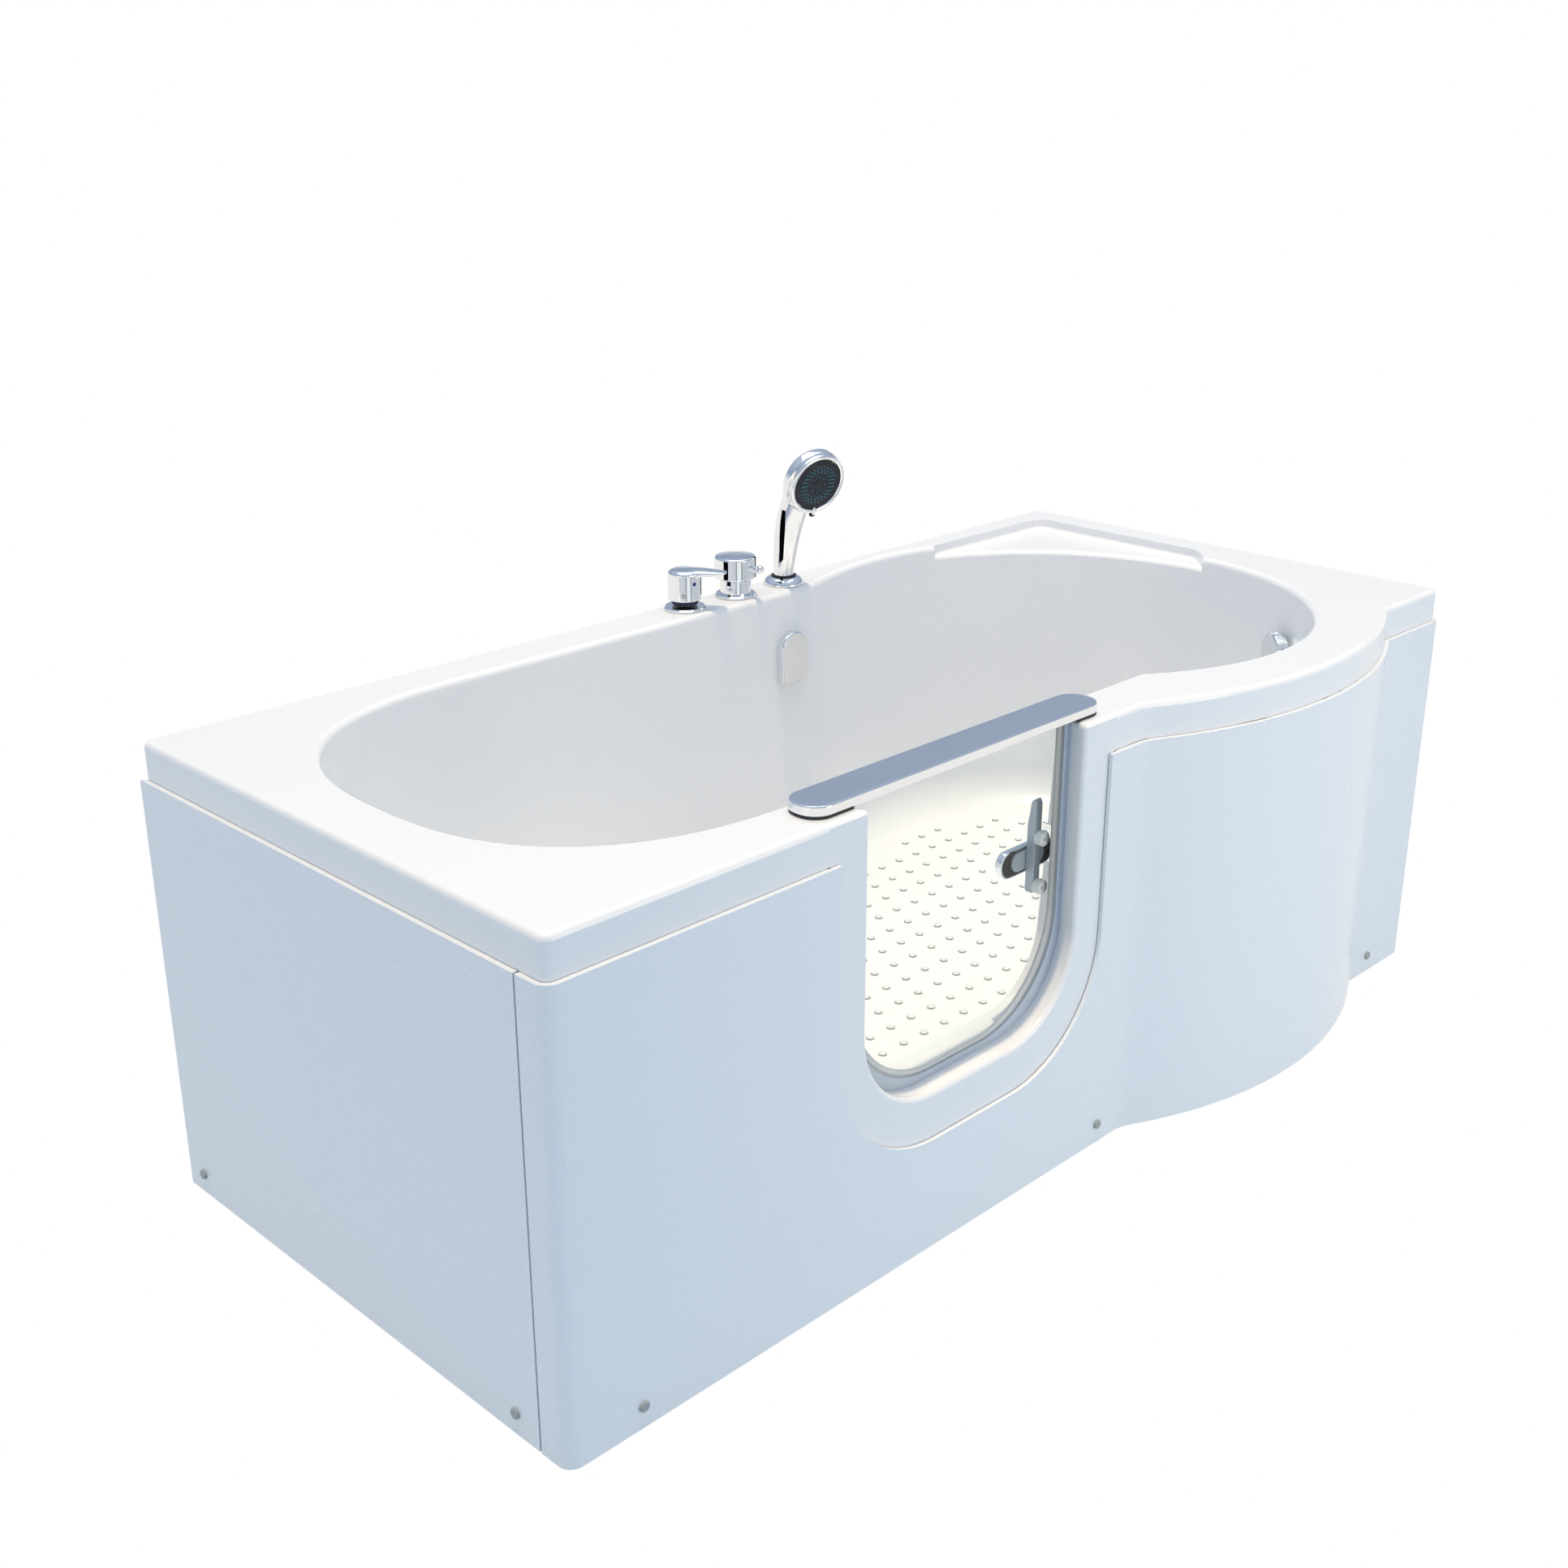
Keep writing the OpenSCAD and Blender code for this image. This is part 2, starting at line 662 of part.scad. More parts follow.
// The front panel's path: one point list outside and one inside, d from the rim's line.
panel_corner_n = 6;
front_line = concat(
    [[0, panel_return - proud]],
    arc([corner_r, corner_r], corner_r, 180, 270, panel_corner_n),
    on_front(steps(corner_r + 40, bow_start - 28, 3)),
    on_front(steps(bow_start - 20, bow_start + 28, 6)),
    on_front(steps(bow_start + 52, bow_end - 16, 24)),
    on_front(steps(bow_end - 8, bow_end + 10, 9)),
    on_front(steps(bow_end + 20, tub_l - corner_r - 20, 2)),
    arc([tub_l - corner_r, corner_r], corner_r, 270, 360, panel_corner_n),
    [[tub_l, panel_return - proud]]
);
lip_line = [for (p = front_line) if (p.y < eps && p.x > 2 * corner_r && p.x < tub_l - 2 * corner_r) p];
// The normal at a point of an open line, to the right of travel.
function line_normal(pts, i) =
    let (d = pts[min(i + 1, len(pts) - 1)] - pts[max(i - 1, 0)])
    [d.y, -d.x] / norm(d);
function line_moved(pts, d) = [for (i = [0 : len(pts) - 1]) pts[i] + d * line_normal(pts, i)];
function reversed(pts) = [for (i = [len(pts) - 1 : -1 : 0]) pts[i]];

module front_band(d_out, d_in)
    polygon(concat(line_moved(front_line, d_out), reversed(line_moved(front_line, d_in))));

module front_panel() color("#dbe5ee") at_origin()
    difference() {
        union() {
            linear_extrude(skirt_z) front_band(proud, panel_gap);
            translate([0, 0, skirt_z - panel_lip_t]) linear_extrude(panel_lip_t)
                polygon(concat(line_moved(lip_line, panel_gap + eps),
                               reversed(line_moved(lip_line, panel_gap - panel_lip_d))));
        }
        doorway(door_w + 2 * band_w, band_z, band_r, rim_z, -proud - 1, -panel_gap / 2);
        translate([door_x - rebate_w / 2 - 20, -panel_gap, skirt_z - panel_lip_t - 1])
            cube([rebate_w + 40, panel_lip_d + over, panel_lip_t + 2]);
        for (x = front_screw_xs) facing_front(x, 0, screw_z)
            cylinder(d = 5, h = over);
    }

end_y0 = panel_return - proud + panel_joint;
end_screw_ys = [screw_end, tub_w - screw_back];
front_screw_xs = [screw_left, door_x + door_w / 2 + band_w + screw_past_door, tub_l - screw_right];

module end_panel() color("#d3dfe9") at_origin()
    difference() {
        union() {
            translate([-proud, end_y0, 0]) cube([panel_t, tub_w - end_y0, skirt_z]);
            translate([-proud + panel_t - eps, end_y0, skirt_z - panel_lip_t])
                cube([panel_lip_d, tub_w - end_y0 - shell_t, panel_lip_t]);
        }
        for (y = end_screw_ys) translate([-over, y, screw_z]) rotate([0, 90, 0])
            cylinder(d = 5, h = 2 * over);
    }

// An angle bracket on the floor behind a panel, open towards +Y.
module floor_bracket()
    difference() {
        translate([-bracket_w / 2, 0, 0]) union() {
            cube([bracket_w, 3, screw_z + 18]);
            cube([bracket_w, 36, 3]);
        }
        translate([0, 4, screw_z]) rotate([90, 0, 0]) cylinder(d = 5, h = 5);
        for (x = [-11, 11]) translate([x, 22, -1]) cylinder(d = 6, h = 5);
    }

// Each front bracket stands clear of the panel over its whole width.
module panel_brackets() color("silver") at_origin() {
    for (x = front_screw_xs)
        translate([x, -min(bow(x - bracket_w / 2), bow(x + bracket_w / 2)) - panel_gap, 0])
            floor_bracket();
    for (y = end_screw_ys) translate([-panel_gap, y, 0]) rotate(-90) floor_bracket();
}

// A screw through a panel, with its flat cap outside, pointing along -Y.
module panel_screw()
    rotate([90, 0, 0]) {
        cylinder(d = cap_d, h = 2.5);
        translate([0, 0, 2.5 - eps]) cylinder(d1 = cap_d, d2 = cap_d - 3, h = 1.2);
        translate([0, 0, -panel_t - 12]) cylinder(d = 4.8, h = panel_t + 12 + eps);
    }

module panel_screws() color("#a8adb3") at_origin() {
    for (x = front_screw_xs) translate([x, -bow(x) - proud, screw_z]) panel_screw();
    for (y = end_screw_ys) translate([-proud, y, screw_z]) rotate(-90) panel_screw();
}

// ---------------------------------------------------------------- frame and feet

module square_tube(l)
    difference() {
        cube([l, tube_s, tube_s]);
        translate([-1, tube_t, tube_t])
            cube([l + 2, tube_s - 2 * tube_t, tube_s - 2 * tube_t]);
    }

module base_board() color("#c9b48a") at_origin()
    difference() {
        translate([foot_c.x + board_past - board_l, (rail_ys[0] + rail_ys[1] + tube_s - board_w) / 2,
                   board_z])
            cube([board_l, board_w, board_t]);
        translate([waste_x, waste_y, board_z - 1]) cylinder(d = waste_flange_d + 24, h = board_t + 2);
    }

module frame_rails() color("#3c4044") at_origin()
    for (y = rail_ys)
        translate([bar_xs[0] - tube_s, y, rail_z]) square_tube(bar_xs[3] - bar_xs[0] + 2 * tube_s);

module frame_crossbars() color("#3c4044") at_origin()
    for (x = bar_xs) difference() {
        translate([x + tube_s / 2, bar_ys[0], bar_z]) rotate(90)
            square_tube(bar_ys[1] - bar_ys[0]);
        for (y = foot_ys) translate([x, y, bar_z - 1]) cylinder(d = stem_d + 1, h = tube_s + 2);
    }

module frame_posts() color("#3c4044") at_origin()
    for (x = [bar_xs[0], bar_xs[3]], y = [post_front_y, post_back_y])
        translate([x - tube_s / 2, y, bar_z + tube_s]) {
            post_h = rim_z - shell_t - bar_z - tube_s;
            difference() {
                cube([tube_s, post_d, post_h]);
                translate([tube_t, tube_t, -1])
                    cube([tube_s - 2 * tube_t, post_d - 2 * tube_t, post_h + 2]);
            }
        }

module at_feet() for (x = bar_xs, y = foot_ys) translate([x, y, 0]) children();

module foot_stems() color("silver") at_origin() at_feet()
    translate([0, 0, pad_h - 6]) cylinder(d = stem_d, h = bar_z + tube_s + 12 - pad_h);

module foot_nuts() color("silver") at_origin() at_feet() {
    translate([0, 0, bar_z - 8]) nut(stem_d * 1.58, 8, stem_d + 0.1);
    translate([0, 0, pad_h]) nut(stem_d * 1.58, 8, stem_d + 0.1);
}

module foot_pads() color("#202224") at_origin() at_feet()
    rotate_extrude() polygon([[0, 0], [pad_d / 2, 0], [pad_d / 2, 4], [stem_d * 0.9, pad_h],
                              [stem_d / 2, pad_h], [stem_d / 2, pad_h - 6], [0, pad_h - 6]]);

// ---------------------------------------------------------------- waste and overflow

module at_waste(z) translate([waste_x, waste_y, z]) children();

module waste_flange() color("silver") at_origin() at_waste(floor_z)
    difference() {
        rotate_extrude() polygon([
            [waste_hole_d / 2 - 5, -16], [waste_hole_d / 2 - 1, -16], [waste_hole_d / 2 - 1, 0],
            [waste_flange_d / 2, 0], [waste_flange_d / 2 - 3, 2.5], [waste_hole_d / 2 - 3, 2.5],
            [waste_hole_d / 2 - 5, 0]
        ]);
    }

// The domed plug. Its stem slides in the waste body's guide.
module waste_plug() color("silver") at_origin() at_waste(floor_z + 2.5 + gap)
    rotate_extrude() polygon([
        [0, -58], [4, -58], [4, -10], [waste_hole_d / 2 - 6, -8], [waste_hole_d / 2 - 6, 0],
        [waste_hole_d / 2 + 4, 0], [waste_hole_d / 2 + 3, 2], [waste_hole_d / 4, 5], [0, 6]
    ]);

module waste_gasket() color("#1d1f20") at_origin() at_waste(skin_floor - 3)
    difference() {
        cylinder(d = 78, h = 3);
        translate([0, 0, -1]) cylinder(d = waste_hole_d, h = 5);
    }

// The cup under the floor, with the plug's guide and the overflow's inlet.
module waste_body() color("#e8e8e4") at_origin() {
    cup_top = skin_floor - 3;
    cup_d = 62;
    difference() {
        union() {
            at_waste(body_z) cylinder(d = cup_d, h = cup_top - body_z);
            at_waste(cup_top - 6) cylinder(d = 80, h = 6);
            overflow_inlet(0) cylinder(d = overflow_pipe_d, h = 62);
            at_waste(body_z - 8) cylinder(d = outlet_d + 14, h = 9);
        }
        at_waste(body_z + 5) cylinder(d = cup_d - 8, h = over);
        at_waste(body_z - 9) cylinder(d = outlet_d - 4, h = 20);
        overflow_inlet(10) cylinder(d = overflow_pipe_d - 6, h = 60);
    }
    // The guide: a short tube on a bridge across the cup.
    difference() {
        union() {
            at_waste(body_z + 6) cylinder(d = 14, h = 14);
            at_waste(body_z + 8) translate([-cup_d / 2 + 2, -3, 0]) cube([cup_d - 4, 6, 5]);
        }
        at_waste(body_z) cylinder(r = 4 + fit, h = over);
    }
}

// Places a Z axis along the waste body's overflow inlet, a distance d from the waste's axis.
module overflow_inlet(d)
    translate([waste_x, waste_y, inlet_z]) rotate([0, 90, inlet_angle]) translate([0, 0, d])
        children();

// A bend of pipe in the XZ plane, between two angles about the origin.
module bend(r, a0, a1, d, t)
    rotate([90, 0, 0]) rotate([0, 0, a0]) rotate_extrude(angle = a1 - a0)
        translate([r, 0]) difference() {
            circle(d = d);
            circle(d = d - 2 * t);
        }

module waste_trap() color("#e8e8e4") at_origin() translate([waste_x, waste_y, 0]) {
    translate([0, 0, trap_z]) tube(trap_d, 2, body_z - 8 - trap_z);
    translate([trap_r, 0, trap_z]) bend(trap_r, 180, 360, trap_d, 2);
    translate([2 * trap_r + elbow_r, 0, trap_z]) bend(elbow_r, 90, 180, trap_d, 2);
    translate([2 * trap_r + elbow_r, 0, outlet_z]) {
        pipe(trap_d, 2, outlet_run);
        translate([outlet_run, 0, 0]) pipe(outlet_d + 8, outlet_d / 2 - trap_d / 2 + 6, collar_l);
        translate([outlet_run + collar_l, 0, 0]) pipe(outlet_d, 3, outlet_l);
    }
}
collar_l = 5;
outlet_l = 45;
outlet_run = tub_l - waste_x - 2 * trap_r - elbow_r - outlet_l - collar_l - 12;

// The overflow's axis, square to the wall of the foot end and pointing into the bowl. The
// origin is on the wall's face.
overflow_in = lip_in + wall_in(overflow_z);
overflow_half = [foot_round - overflow_in, foot_half - overflow_in];
overflow_r = 1 / sqrt(pow(cos(overflow_dir) / overflow_half.x, 2)
                      + pow(sin(overflow_dir) / overflow_half.y, 2));
overflow_at = foot_c + overflow_r * [cos(overflow_dir), sin(overflow_dir)];
module overflow_place(d)
    translate([overflow_at.x, overflow_at.y, overflow_z])
        rotate([0, -90, overflow_dir]) translate([0, 0, d]) children();

elbow_out = 44;
rose_z = 7.5;
pipe_at = overflow_at + elbow_out * [cos(overflow_dir), sin(overflow_dir)];
inlet_angle = angle_to([waste_x, waste_y], pipe_at);
inlet_run = norm(pipe_at - [waste_x, waste_y]);

module overflow_rose() color("silver") at_origin() overflow_place(0)
    difference() {
        union() {
            translate([0, 0, rose_z - 4]) cylinder(d = 60, h = 4);
            translate([0, 0, -24]) cylinder(d = 38, h = 24 + rose_z - 2);
        }
        translate([0, 0, -25]) cylinder(r = 5 + fit, h = 40);
        for (a = [0 : 60 : 300]) rotate(a + 30) translate([13, 0, -25]) cylinder(d = 7, h = 40);
    }

// The box behind the wall, with the outlet that drops into the pipe.
module overflow_body() color("#e8e8e4") at_origin() {
    difference() {
        union() {
            overflow_place(-elbow_out - 18) cylinder(d = 46, h = elbow_out + 18 - shell_t - 2);
            translate([pipe_at.x, pipe_at.y, overflow_z - 45])
                cylinder(d = overflow_pipe_d + 8, h = 45);
        }
        overflow_place(-elbow_out - 14) cylinder(d = 38, h = elbow_out + 14);
        translate([pipe_at.x, pipe_at.y, overflow_z - 46])
            cylinder(d = overflow_pipe_d, h = 46);
    }
}

module overflow_pipe() color("#d9dcdc") at_origin()
    translate([waste_x, waste_y, 0]) rotate(inlet_angle) {
        r = overflow_pipe_d;
        translate([62, 0, inlet_z]) pipe(overflow_pipe_d, 2, inlet_run - r - 62);
        translate([inlet_run - r, 0, inlet_z + r]) bend(r, 270, 360, overflow_pipe_d, 2);
        translate([inlet_run, 0, inlet_z + r]) tube(overflow_pipe_d, 2, overflow_z - 20 - inlet_z - r);
    }

// The knob that works the plug, a dished cap with finger notches.
module overflow_knob() color("silver") at_origin() overflow_place(rose_z + gap)
    difference() {
        union() {
            rotate_extrude() polygon([[0, 6], [18, 6], [knob_d / 2 - 2, 0], [knob_d / 2, 1],
                                      [knob_d / 2, 12], [knob_d / 2 - 3, 15], [12, 17], [0, 17]]);
            translate([0, 0, -26]) cylinder(r = 5, h = 34);
        }
        for (a = [0 : 60 : 300]) rotate(a) translate([knob_d / 2 + 3, 0, 5])
            cylinder(d = 14, h = 20);
    }

// ---------------------------------------------------------------- taps

filler_y = bowl_point([filler_x, tub_w], lip_in + wall_in(filler_z), 0).y;

wall_slope = atan(wall_draft / wall_h);
// A frame on the sloping back wall at the filler, +Z into the bowl and +Y up the wall.
module at_wall(z)
    translate([filler_x, filler_y, filler_z]) rotate([90 - wall_slope, 0, 0])
        translate([0, 0, z]) children();

// The arched plate that turns the water down the wall.
module filler_plate() color("silver") at_origin()
    difference() {
        at_wall(0) linear_extrude(14) union() {
            translate([0, filler_h / 2 - filler_w / 2]) circle(d = filler_w);
            translate([-filler_w / 2, -filler_h / 2]) square([filler_w, filler_h - filler_w / 2]);
        }
        at_wall(-1) linear_extrude(12) union() {
            translate([0, filler_h / 2 - filler_w / 2]) circle(d = filler_w - 6);
            translate([-filler_w / 2 + 3, -filler_h / 2 - 1])
                square([filler_w - 6, filler_h - filler_w / 2 + 1]);
        }
    }

// The filler's inlet through the wall, with its nut and its block behind.
module filler_tail() color("#c9a860") at_origin()
    difference() {
        union() {
            at_wall(-shell_t - 14) cylinder(d = 21, h = shell_t + 22);
            at_wall(-shell_t - 6) nut(30, 6, 20);
            translate([filler_x - 12, filler_y + shell_t + 9, filler_z - 13])
                cube([24, tap_y + 12 - filler_y - shell_t - 9, 26]);
        }
        at_wall(-shell_t - 12) cylinder(d = 15, h = shell_t + 21);
        translate([filler_x, filler_y + shell_t + 8, filler_z]) rotate([-90, 0, 0])
            cylinder(d = 12, h = tap_y - filler_y - shell_t - 8);
        translate([filler_x - 13, tap_y, filler_z]) rotate([0, 90, 0]) cylinder(d = 15, h = 13);
    }

module base_ring(bore)
    rotate_extrude() polygon([[bore / 2, 0], [ring_d / 2 - 1, 0], [ring_d / 2, 1],
                              [ring_d / 2, ring_h - 2], [ring_d / 2 - 2, ring_h],
                              [bore / 2, ring_h]]);

module at_mixer(z) translate([mixer_x, tap_y, z]) children();
module at_diverter(z) translate([diverter_x, tap_y, z]) children();

// A valve under the deck: a shank through the deck hole with its nut, and a block with tails.
module deck_valve(tails, spindle, sides)
    difference() {
        union() {
            translate([0, 0, valve_top - eps]) cylinder(d = 30, h = rim_z - valve_top + ring_h);
            translate([0, 0, rim_z - shell_t - 9]) nut(41, 9, 29);
            translate([-valve_l / 2, -valve_d / 2, valve_top - valve_h])
                cube([valve_l, valve_d, valve_h]);
            for (x = tails) translate([x, 0, valve_top - valve_h - 30])
                cylinder(d = tail_d, h = 31);
        }
        translate([0, 0, valve_top - 20]) cylinder(r = spindle + fit, h = 2 * over);
        for (x = tails) translate([x, 0, valve_top - valve_h - 31]) cylinder(d = 14, h = 45);
        for (s = sides) translate([s * valve_l / 2, 0, link_z]) rotate([0, -90 * s, 0])
            translate([0, 0, -1]) cylinder(d = 15, h = 13);
    }

ball_stem_r = 9;
diverter_stem_r = 6;

module mixer_ring() color("silver") at_origin() at_mixer(rim_z) base_ring(30.2);
module mixer_valve() color("#c9a860") at_origin() translate([mixer_x, tap_y, 0])
    deck_valve([-26, 26], ball_stem_r, [1]);

// The ball that the handle rocks on. It turns in the valve on its stem.
module mixer_ball() color("#2b2e31") at_origin() at_mixer(ball_z)
    difference() {
        union() {
            intersection() {
                sphere(d = ball_d);
                translate([0, 0, -ball_d / 4]) cylinder(d = ball_d + 2, h = ball_d);
            }
            translate([0, 0, valve_top - 15 - ball_z])
                cylinder(r = ball_stem_r, h = ball_z - valve_top + 15 - 5);
        }
        rotate([0, 0, lever_angle]) rotate([90, 0, 0])
            cylinder(r = 2.5, h = 2 * ball_d, center = true);
    }

module mixer_pivot() color("silver") at_origin() at_mixer(ball_z)
    rotate([0, 0, lever_angle]) rotate([90, 0, 0])
        cylinder(r = 2.5, h = handle_d - 3, center = true);

// The handle: a cap over the ball, drawn out into a lever.
module mixer_handle() color("silver") at_origin() at_mixer(handle_z)
    rotate([0, 0, lever_angle]) difference() {
        union() {
            rotate_extrude() polygon(concat(
                [[0, 0], [handle_d / 2 - 1, 0], [handle_d / 2, 1]],
                arc([handle_d / 2 - 12, handle_h - 12], 12, 0, 80, 6),
                [[0, handle_h + 1.5]]
            ));
            hull() {
                translate([4, 0, handle_h - 7]) scale([1, 1, 0.42]) sphere(r = 17, $fn = 32);
                translate([lever_reach - 12, 0, handle_h - 8]) scale([1, 1, 0.3])
                    sphere(r = 10, $fn = 32);
            }
        }
        translate([0, 0, ball_z - handle_z]) sphere(d = ball_d + 2 * gap);
        translate([0, 0, ball_z - handle_z]) rotate([90, 0, 0])
            cylinder(r = 2.5 + fit, h = handle_d - 3 + 2 * gap, center = true);
        translate([0, -handle_d / 2 - 1, 10]) rotate([-90, 0, 0]) cylinder(d = grub_d, h = 4);
        dot_place() cylinder(d = dot_d, h = 2);
    }

// Places a Z axis out of the side of the handle, where the temperature dot sits.
module dot_place()
    rotate([0, 0, -52]) translate([handle_d / 2 - 0.8, 0, 26]) rotate([0, 90, 0]) children();

module mixer_dot() color("#3a2aa0") at_origin() at_mixer(handle_z)
    rotate([0, 0, lever_angle]) dot_place() cylinder(d = dot_d, h = 1);

module mixer_grub_screw() color("#8b9096") at_origin() at_mixer(handle_z)
    rotate([0, 0, lever_angle]) translate([0, -handle_d / 2 + 0.6, 10]) rotate([-90, 0, 0])
        cylinder(d = grub_d, h = 2.4);

module diverter_ring() color("silver") at_origin() at_diverter(rim_z) base_ring(30.2);

module diverter_neck() color("silver") at_origin() at_diverter(rim_z + ring_h)
    rotate_extrude() polygon([[diverter_stem_r + fit, 0], [neck_d / 2, 0], [neck_d / 2, neck_h],
                              [diverter_stem_r + fit, neck_h]]);

module diverter_valve() color("#c9a860") at_origin() translate([diverter_x, tap_y, 0])
    deck_valve([20], diverter_stem_r, [-1, 1]);

module diverter_spindle() color("#2b2e31") at_origin() at_diverter(valve_top - 15)
    cylinder(r = diverter_stem_r, h = cap_z + 12 - valve_top + 15);

module diverter_cap() color("silver") at_origin() at_diverter(cap_z)
    difference() {
        rotate_extrude() polygon([
            [0, 0], [diverter_d / 2 - 1.5, 0], [diverter_d / 2, 1.5],
            [diverter_d / 2, diverter_h - 3], [diverter_d / 2 - 2, diverter_h - 1],
            [diverter_d / 4, diverter_h + 0.6], [0, diverter_h + 1]
        ]);
        translate([0, 0, -1]) cylinder(r = diverter_stem_r, h = 13);
        translate([0, 0, diverter_h / 2]) rotate([0, 90, pin_angle])
            translate([0, 0, diverter_d / 2 - 6]) cylinder(d = 9, h = 10);
    }

module diverter_pin() color("silver") at_origin() at_diverter(cap_z + diverter_h / 2)
    rotate([0, 0, pin_angle]) rotate([0, 90, 0]) {
        translate([0, 0, diverter_d / 2 - 6]) cylinder(d = 9, h = pin_reach + 5 - diverter_d / 2);
        translate([0, 0, pin_reach - 2]) sphere(d = 12);
    }

// Short pipes join the mixer, the diverter and the filler under the deck.
module link_pipes() color("#c9a860") at_origin() {
    side_x = diverter_x + valve_l / 2;
    translate([mixer_x + valve_l / 2 - link_in, tap_y, link_z])
        pipe(15, 1.5, tap_pitch - valve_l + 2 * link_in);
    translate([side_x, tap_y, 0]) {
        translate([-link_in, 0, link_z]) pipe(15, 1.5, link_in + 1);
        translate([1, 0, link_z - 9]) bend(9, 0, 90, 15, 1.5);
        translate([10, 0, filler_z + 9]) tube(15, 1.5, link_z - filler_z - 18);
        translate([19, 0, filler_z + 9]) bend(9, 180, 270, 15, 1.5);
        translate([19, 0, filler_z]) pipe(15, 1.5, filler_x - 4 - side_x - 19);
    }
}

// ---------------------------------------------------------------- hand shower

module at_shower(z) translate([shower_x, tap_y, z]) children();

module shower_holder() color("silver") at_origin() at_shower(rim_z)
    rotate_extrude() polygon(concat(
        [[grip_d / 2 + 2.4, 0]],
        arc([ring_d / 2 - 11, 0], 11.5, 0, 80, 8),
        [[grip_d / 2 + 2.4, 12]]
    ));

module holder_gasket() color("#17191b") at_origin() at_shower(rim_z)
    rotate_extrude() polygon([
        [grip_d / 2 + gap, 2], [grip_d / 2 + 2.4, 2], [grip_d / 2 + 2.4, 12],
        [grip_d / 2 + 4, 13.2], [grip_d / 2 + gap, 13.2]
    ]);

// The guide under the deck that the hose would slide through.
module hose_guide() color("#e8e8e4") at_origin() at_shower(rim_z - shell_t)
    difference() {
        union() {
            translate([0, 0, -50]) cylinder(d = guide_d, h = 50 + shell_t);
            translate([0, 0, -10]) nut(46, 10, guide_d - 1);
        }
        translate([0, 0, -10 - grip_room]) cylinder(r = grip_d / 2 + gap, h = over);
        translate([0, 0, -51]) cylinder(d = 20, h = over);
    }
grip_room = 14;

grip_stub = 18;
// The handle's centre line: [forward, up] from the rim, then [radius].
grip_path = [[0, 18, 15], [3, 43, 15.3], [8, 73, 15.8], [16, 101, 16.4], [28, 127, 17.4],
             [42, 149, 18.5]];
head_at = [88, 165];

// Turns +X forward, the way that the spray points.
module shower_axes() at_origin() at_shower(rim_z) rotate([0, 0, -90 - shower_turn]) children();

module shower_handle() color("silver") shower_axes()
    difference() {
        union() {
            translate([0, 0, -grip_stub]) cylinder(d = grip_d, h = grip_stub + grip_path[0].y + 2);
            for (i = [0 : len(grip_path) - 2]) hull() for (k = [i, i + 1])
                translate([grip_path[k][0], 0, grip_path[k][1]])
                    sphere(r = grip_path[k][2] * grip_d / 30, $fn = 24);
        }
        head_dome();
    }

// A frame at the middle of the spray face, +Z out of the face.
module at_face(z)
    translate([head_at[0], 0, head_at[1]]) rotate([0, 90 + face_tilt, 0])
        translate([0, 0, z]) children();

module head_dome()
    at_face(0) rotate_extrude() polygon(concat(
        [[0, -head_t]],
        [for (a = steps(15, 90, 8)) [head_d / 2 * sin(a), -6 - (head_t - 6) * cos(a)]],
        [[head_d / 2, -3], [head_d / 2 - 3, 0], [0, 0]]
    ));

module shower_head() color("silver") shower_axes()
    difference() {
        head_dome();
        at_face(-5) cylinder(d = face_d + 2 * gap, h = 10);
        at_face(-14) cylinder(r = 6 + fit, h = 20);
    }

module spray_face() color("#23282c") shower_axes() {
    at_face(-5 + gap) cylinder(d = face_d, h = 4);
    at_face(-13.5) cylinder(r = 6, h = 10);
}

module spray_nozzles() color("#1f8a8f") shower_axes()
    for (ring = [[12, 8], [22, 16], [30, 24]], k = [0 : ring[1] - 1])
        at_face(-1 + gap) rotate(360 * k / ring[1]) translate([ring[0], 0, 0])
            cylinder(r1 = 1.4, r2 = 1, h = 1.4, $fn = 13);

// The thumb tab that turns the spray face. It reaches over the head's lower edge.
module spray_tab() color("#17191b") shower_axes() at_face(-1 + gap) {
    translate([face_d / 2 - 6, -4, 0]) cube([5, 8, 3.4]);
    translate([face_d / 2 - 6, -4, 1]) cube([head_d / 2 - face_d / 2 + 9, 8, 2.4]);
}

// ---------------------------------------------------------------- door

// The metal profile on the landing, round the doorway.
module door_profile() color("#8f9db3") at_origin()
    difference() {
        doorway(land_w, sill_z, door_r + reveal_draft, rim_z - 3, reveal_d, land_y);
        doorway(land_w - 2 * profile_w, sill_z + profile_rise, door_r - 4, rim_z,
                reveal_d - 1, land_y + 1);
    }

module door_glass() color([0.85, 0.93, 0.92, 0.35]) at_origin()
    doorway(glass_w, seal_z + 3, door_r + 8, glass_top, glass_y, glass_in);

// The seal grips the edge of the glass, with its broad flange in front.
module door_seal() color("#5d5f5c") at_origin()
    difference() {
        doorway(seal_w, seal_z, door_r + 11, rim_z - 4, seal_y, glass_in + 2);
        doorway(glass_w + 0.2, seal_z + 2.9, door_r + 8, rim_z, glass_y, glass_in);
        doorway(land_w - 2 * profile_w - 2 * seal_show, sill_z + profile_rise + 4, door_r - 12,
                rim_z, seal_y - 1, glass_y + 1);
        doorway(glass_w - 16, seal_z + 11, door_r, rim_z, glass_in - 1, glass_in + 3);
        at_hinges() translate([0, glass_in - hinge_y, -leaf_h / 2])
            cube([leaf_l, leaf_t, leaf_h - gap]);
    }

rail_z0 = rim_z + gap + rail_pad_t;
rail_l = door_w + 2 * rail_over;
rail_x0 = door_x - rail_l / 2 - 7;
rail_y0 = (glass_y + glass_in) / 2 - rail_w / 2 + 1.5;

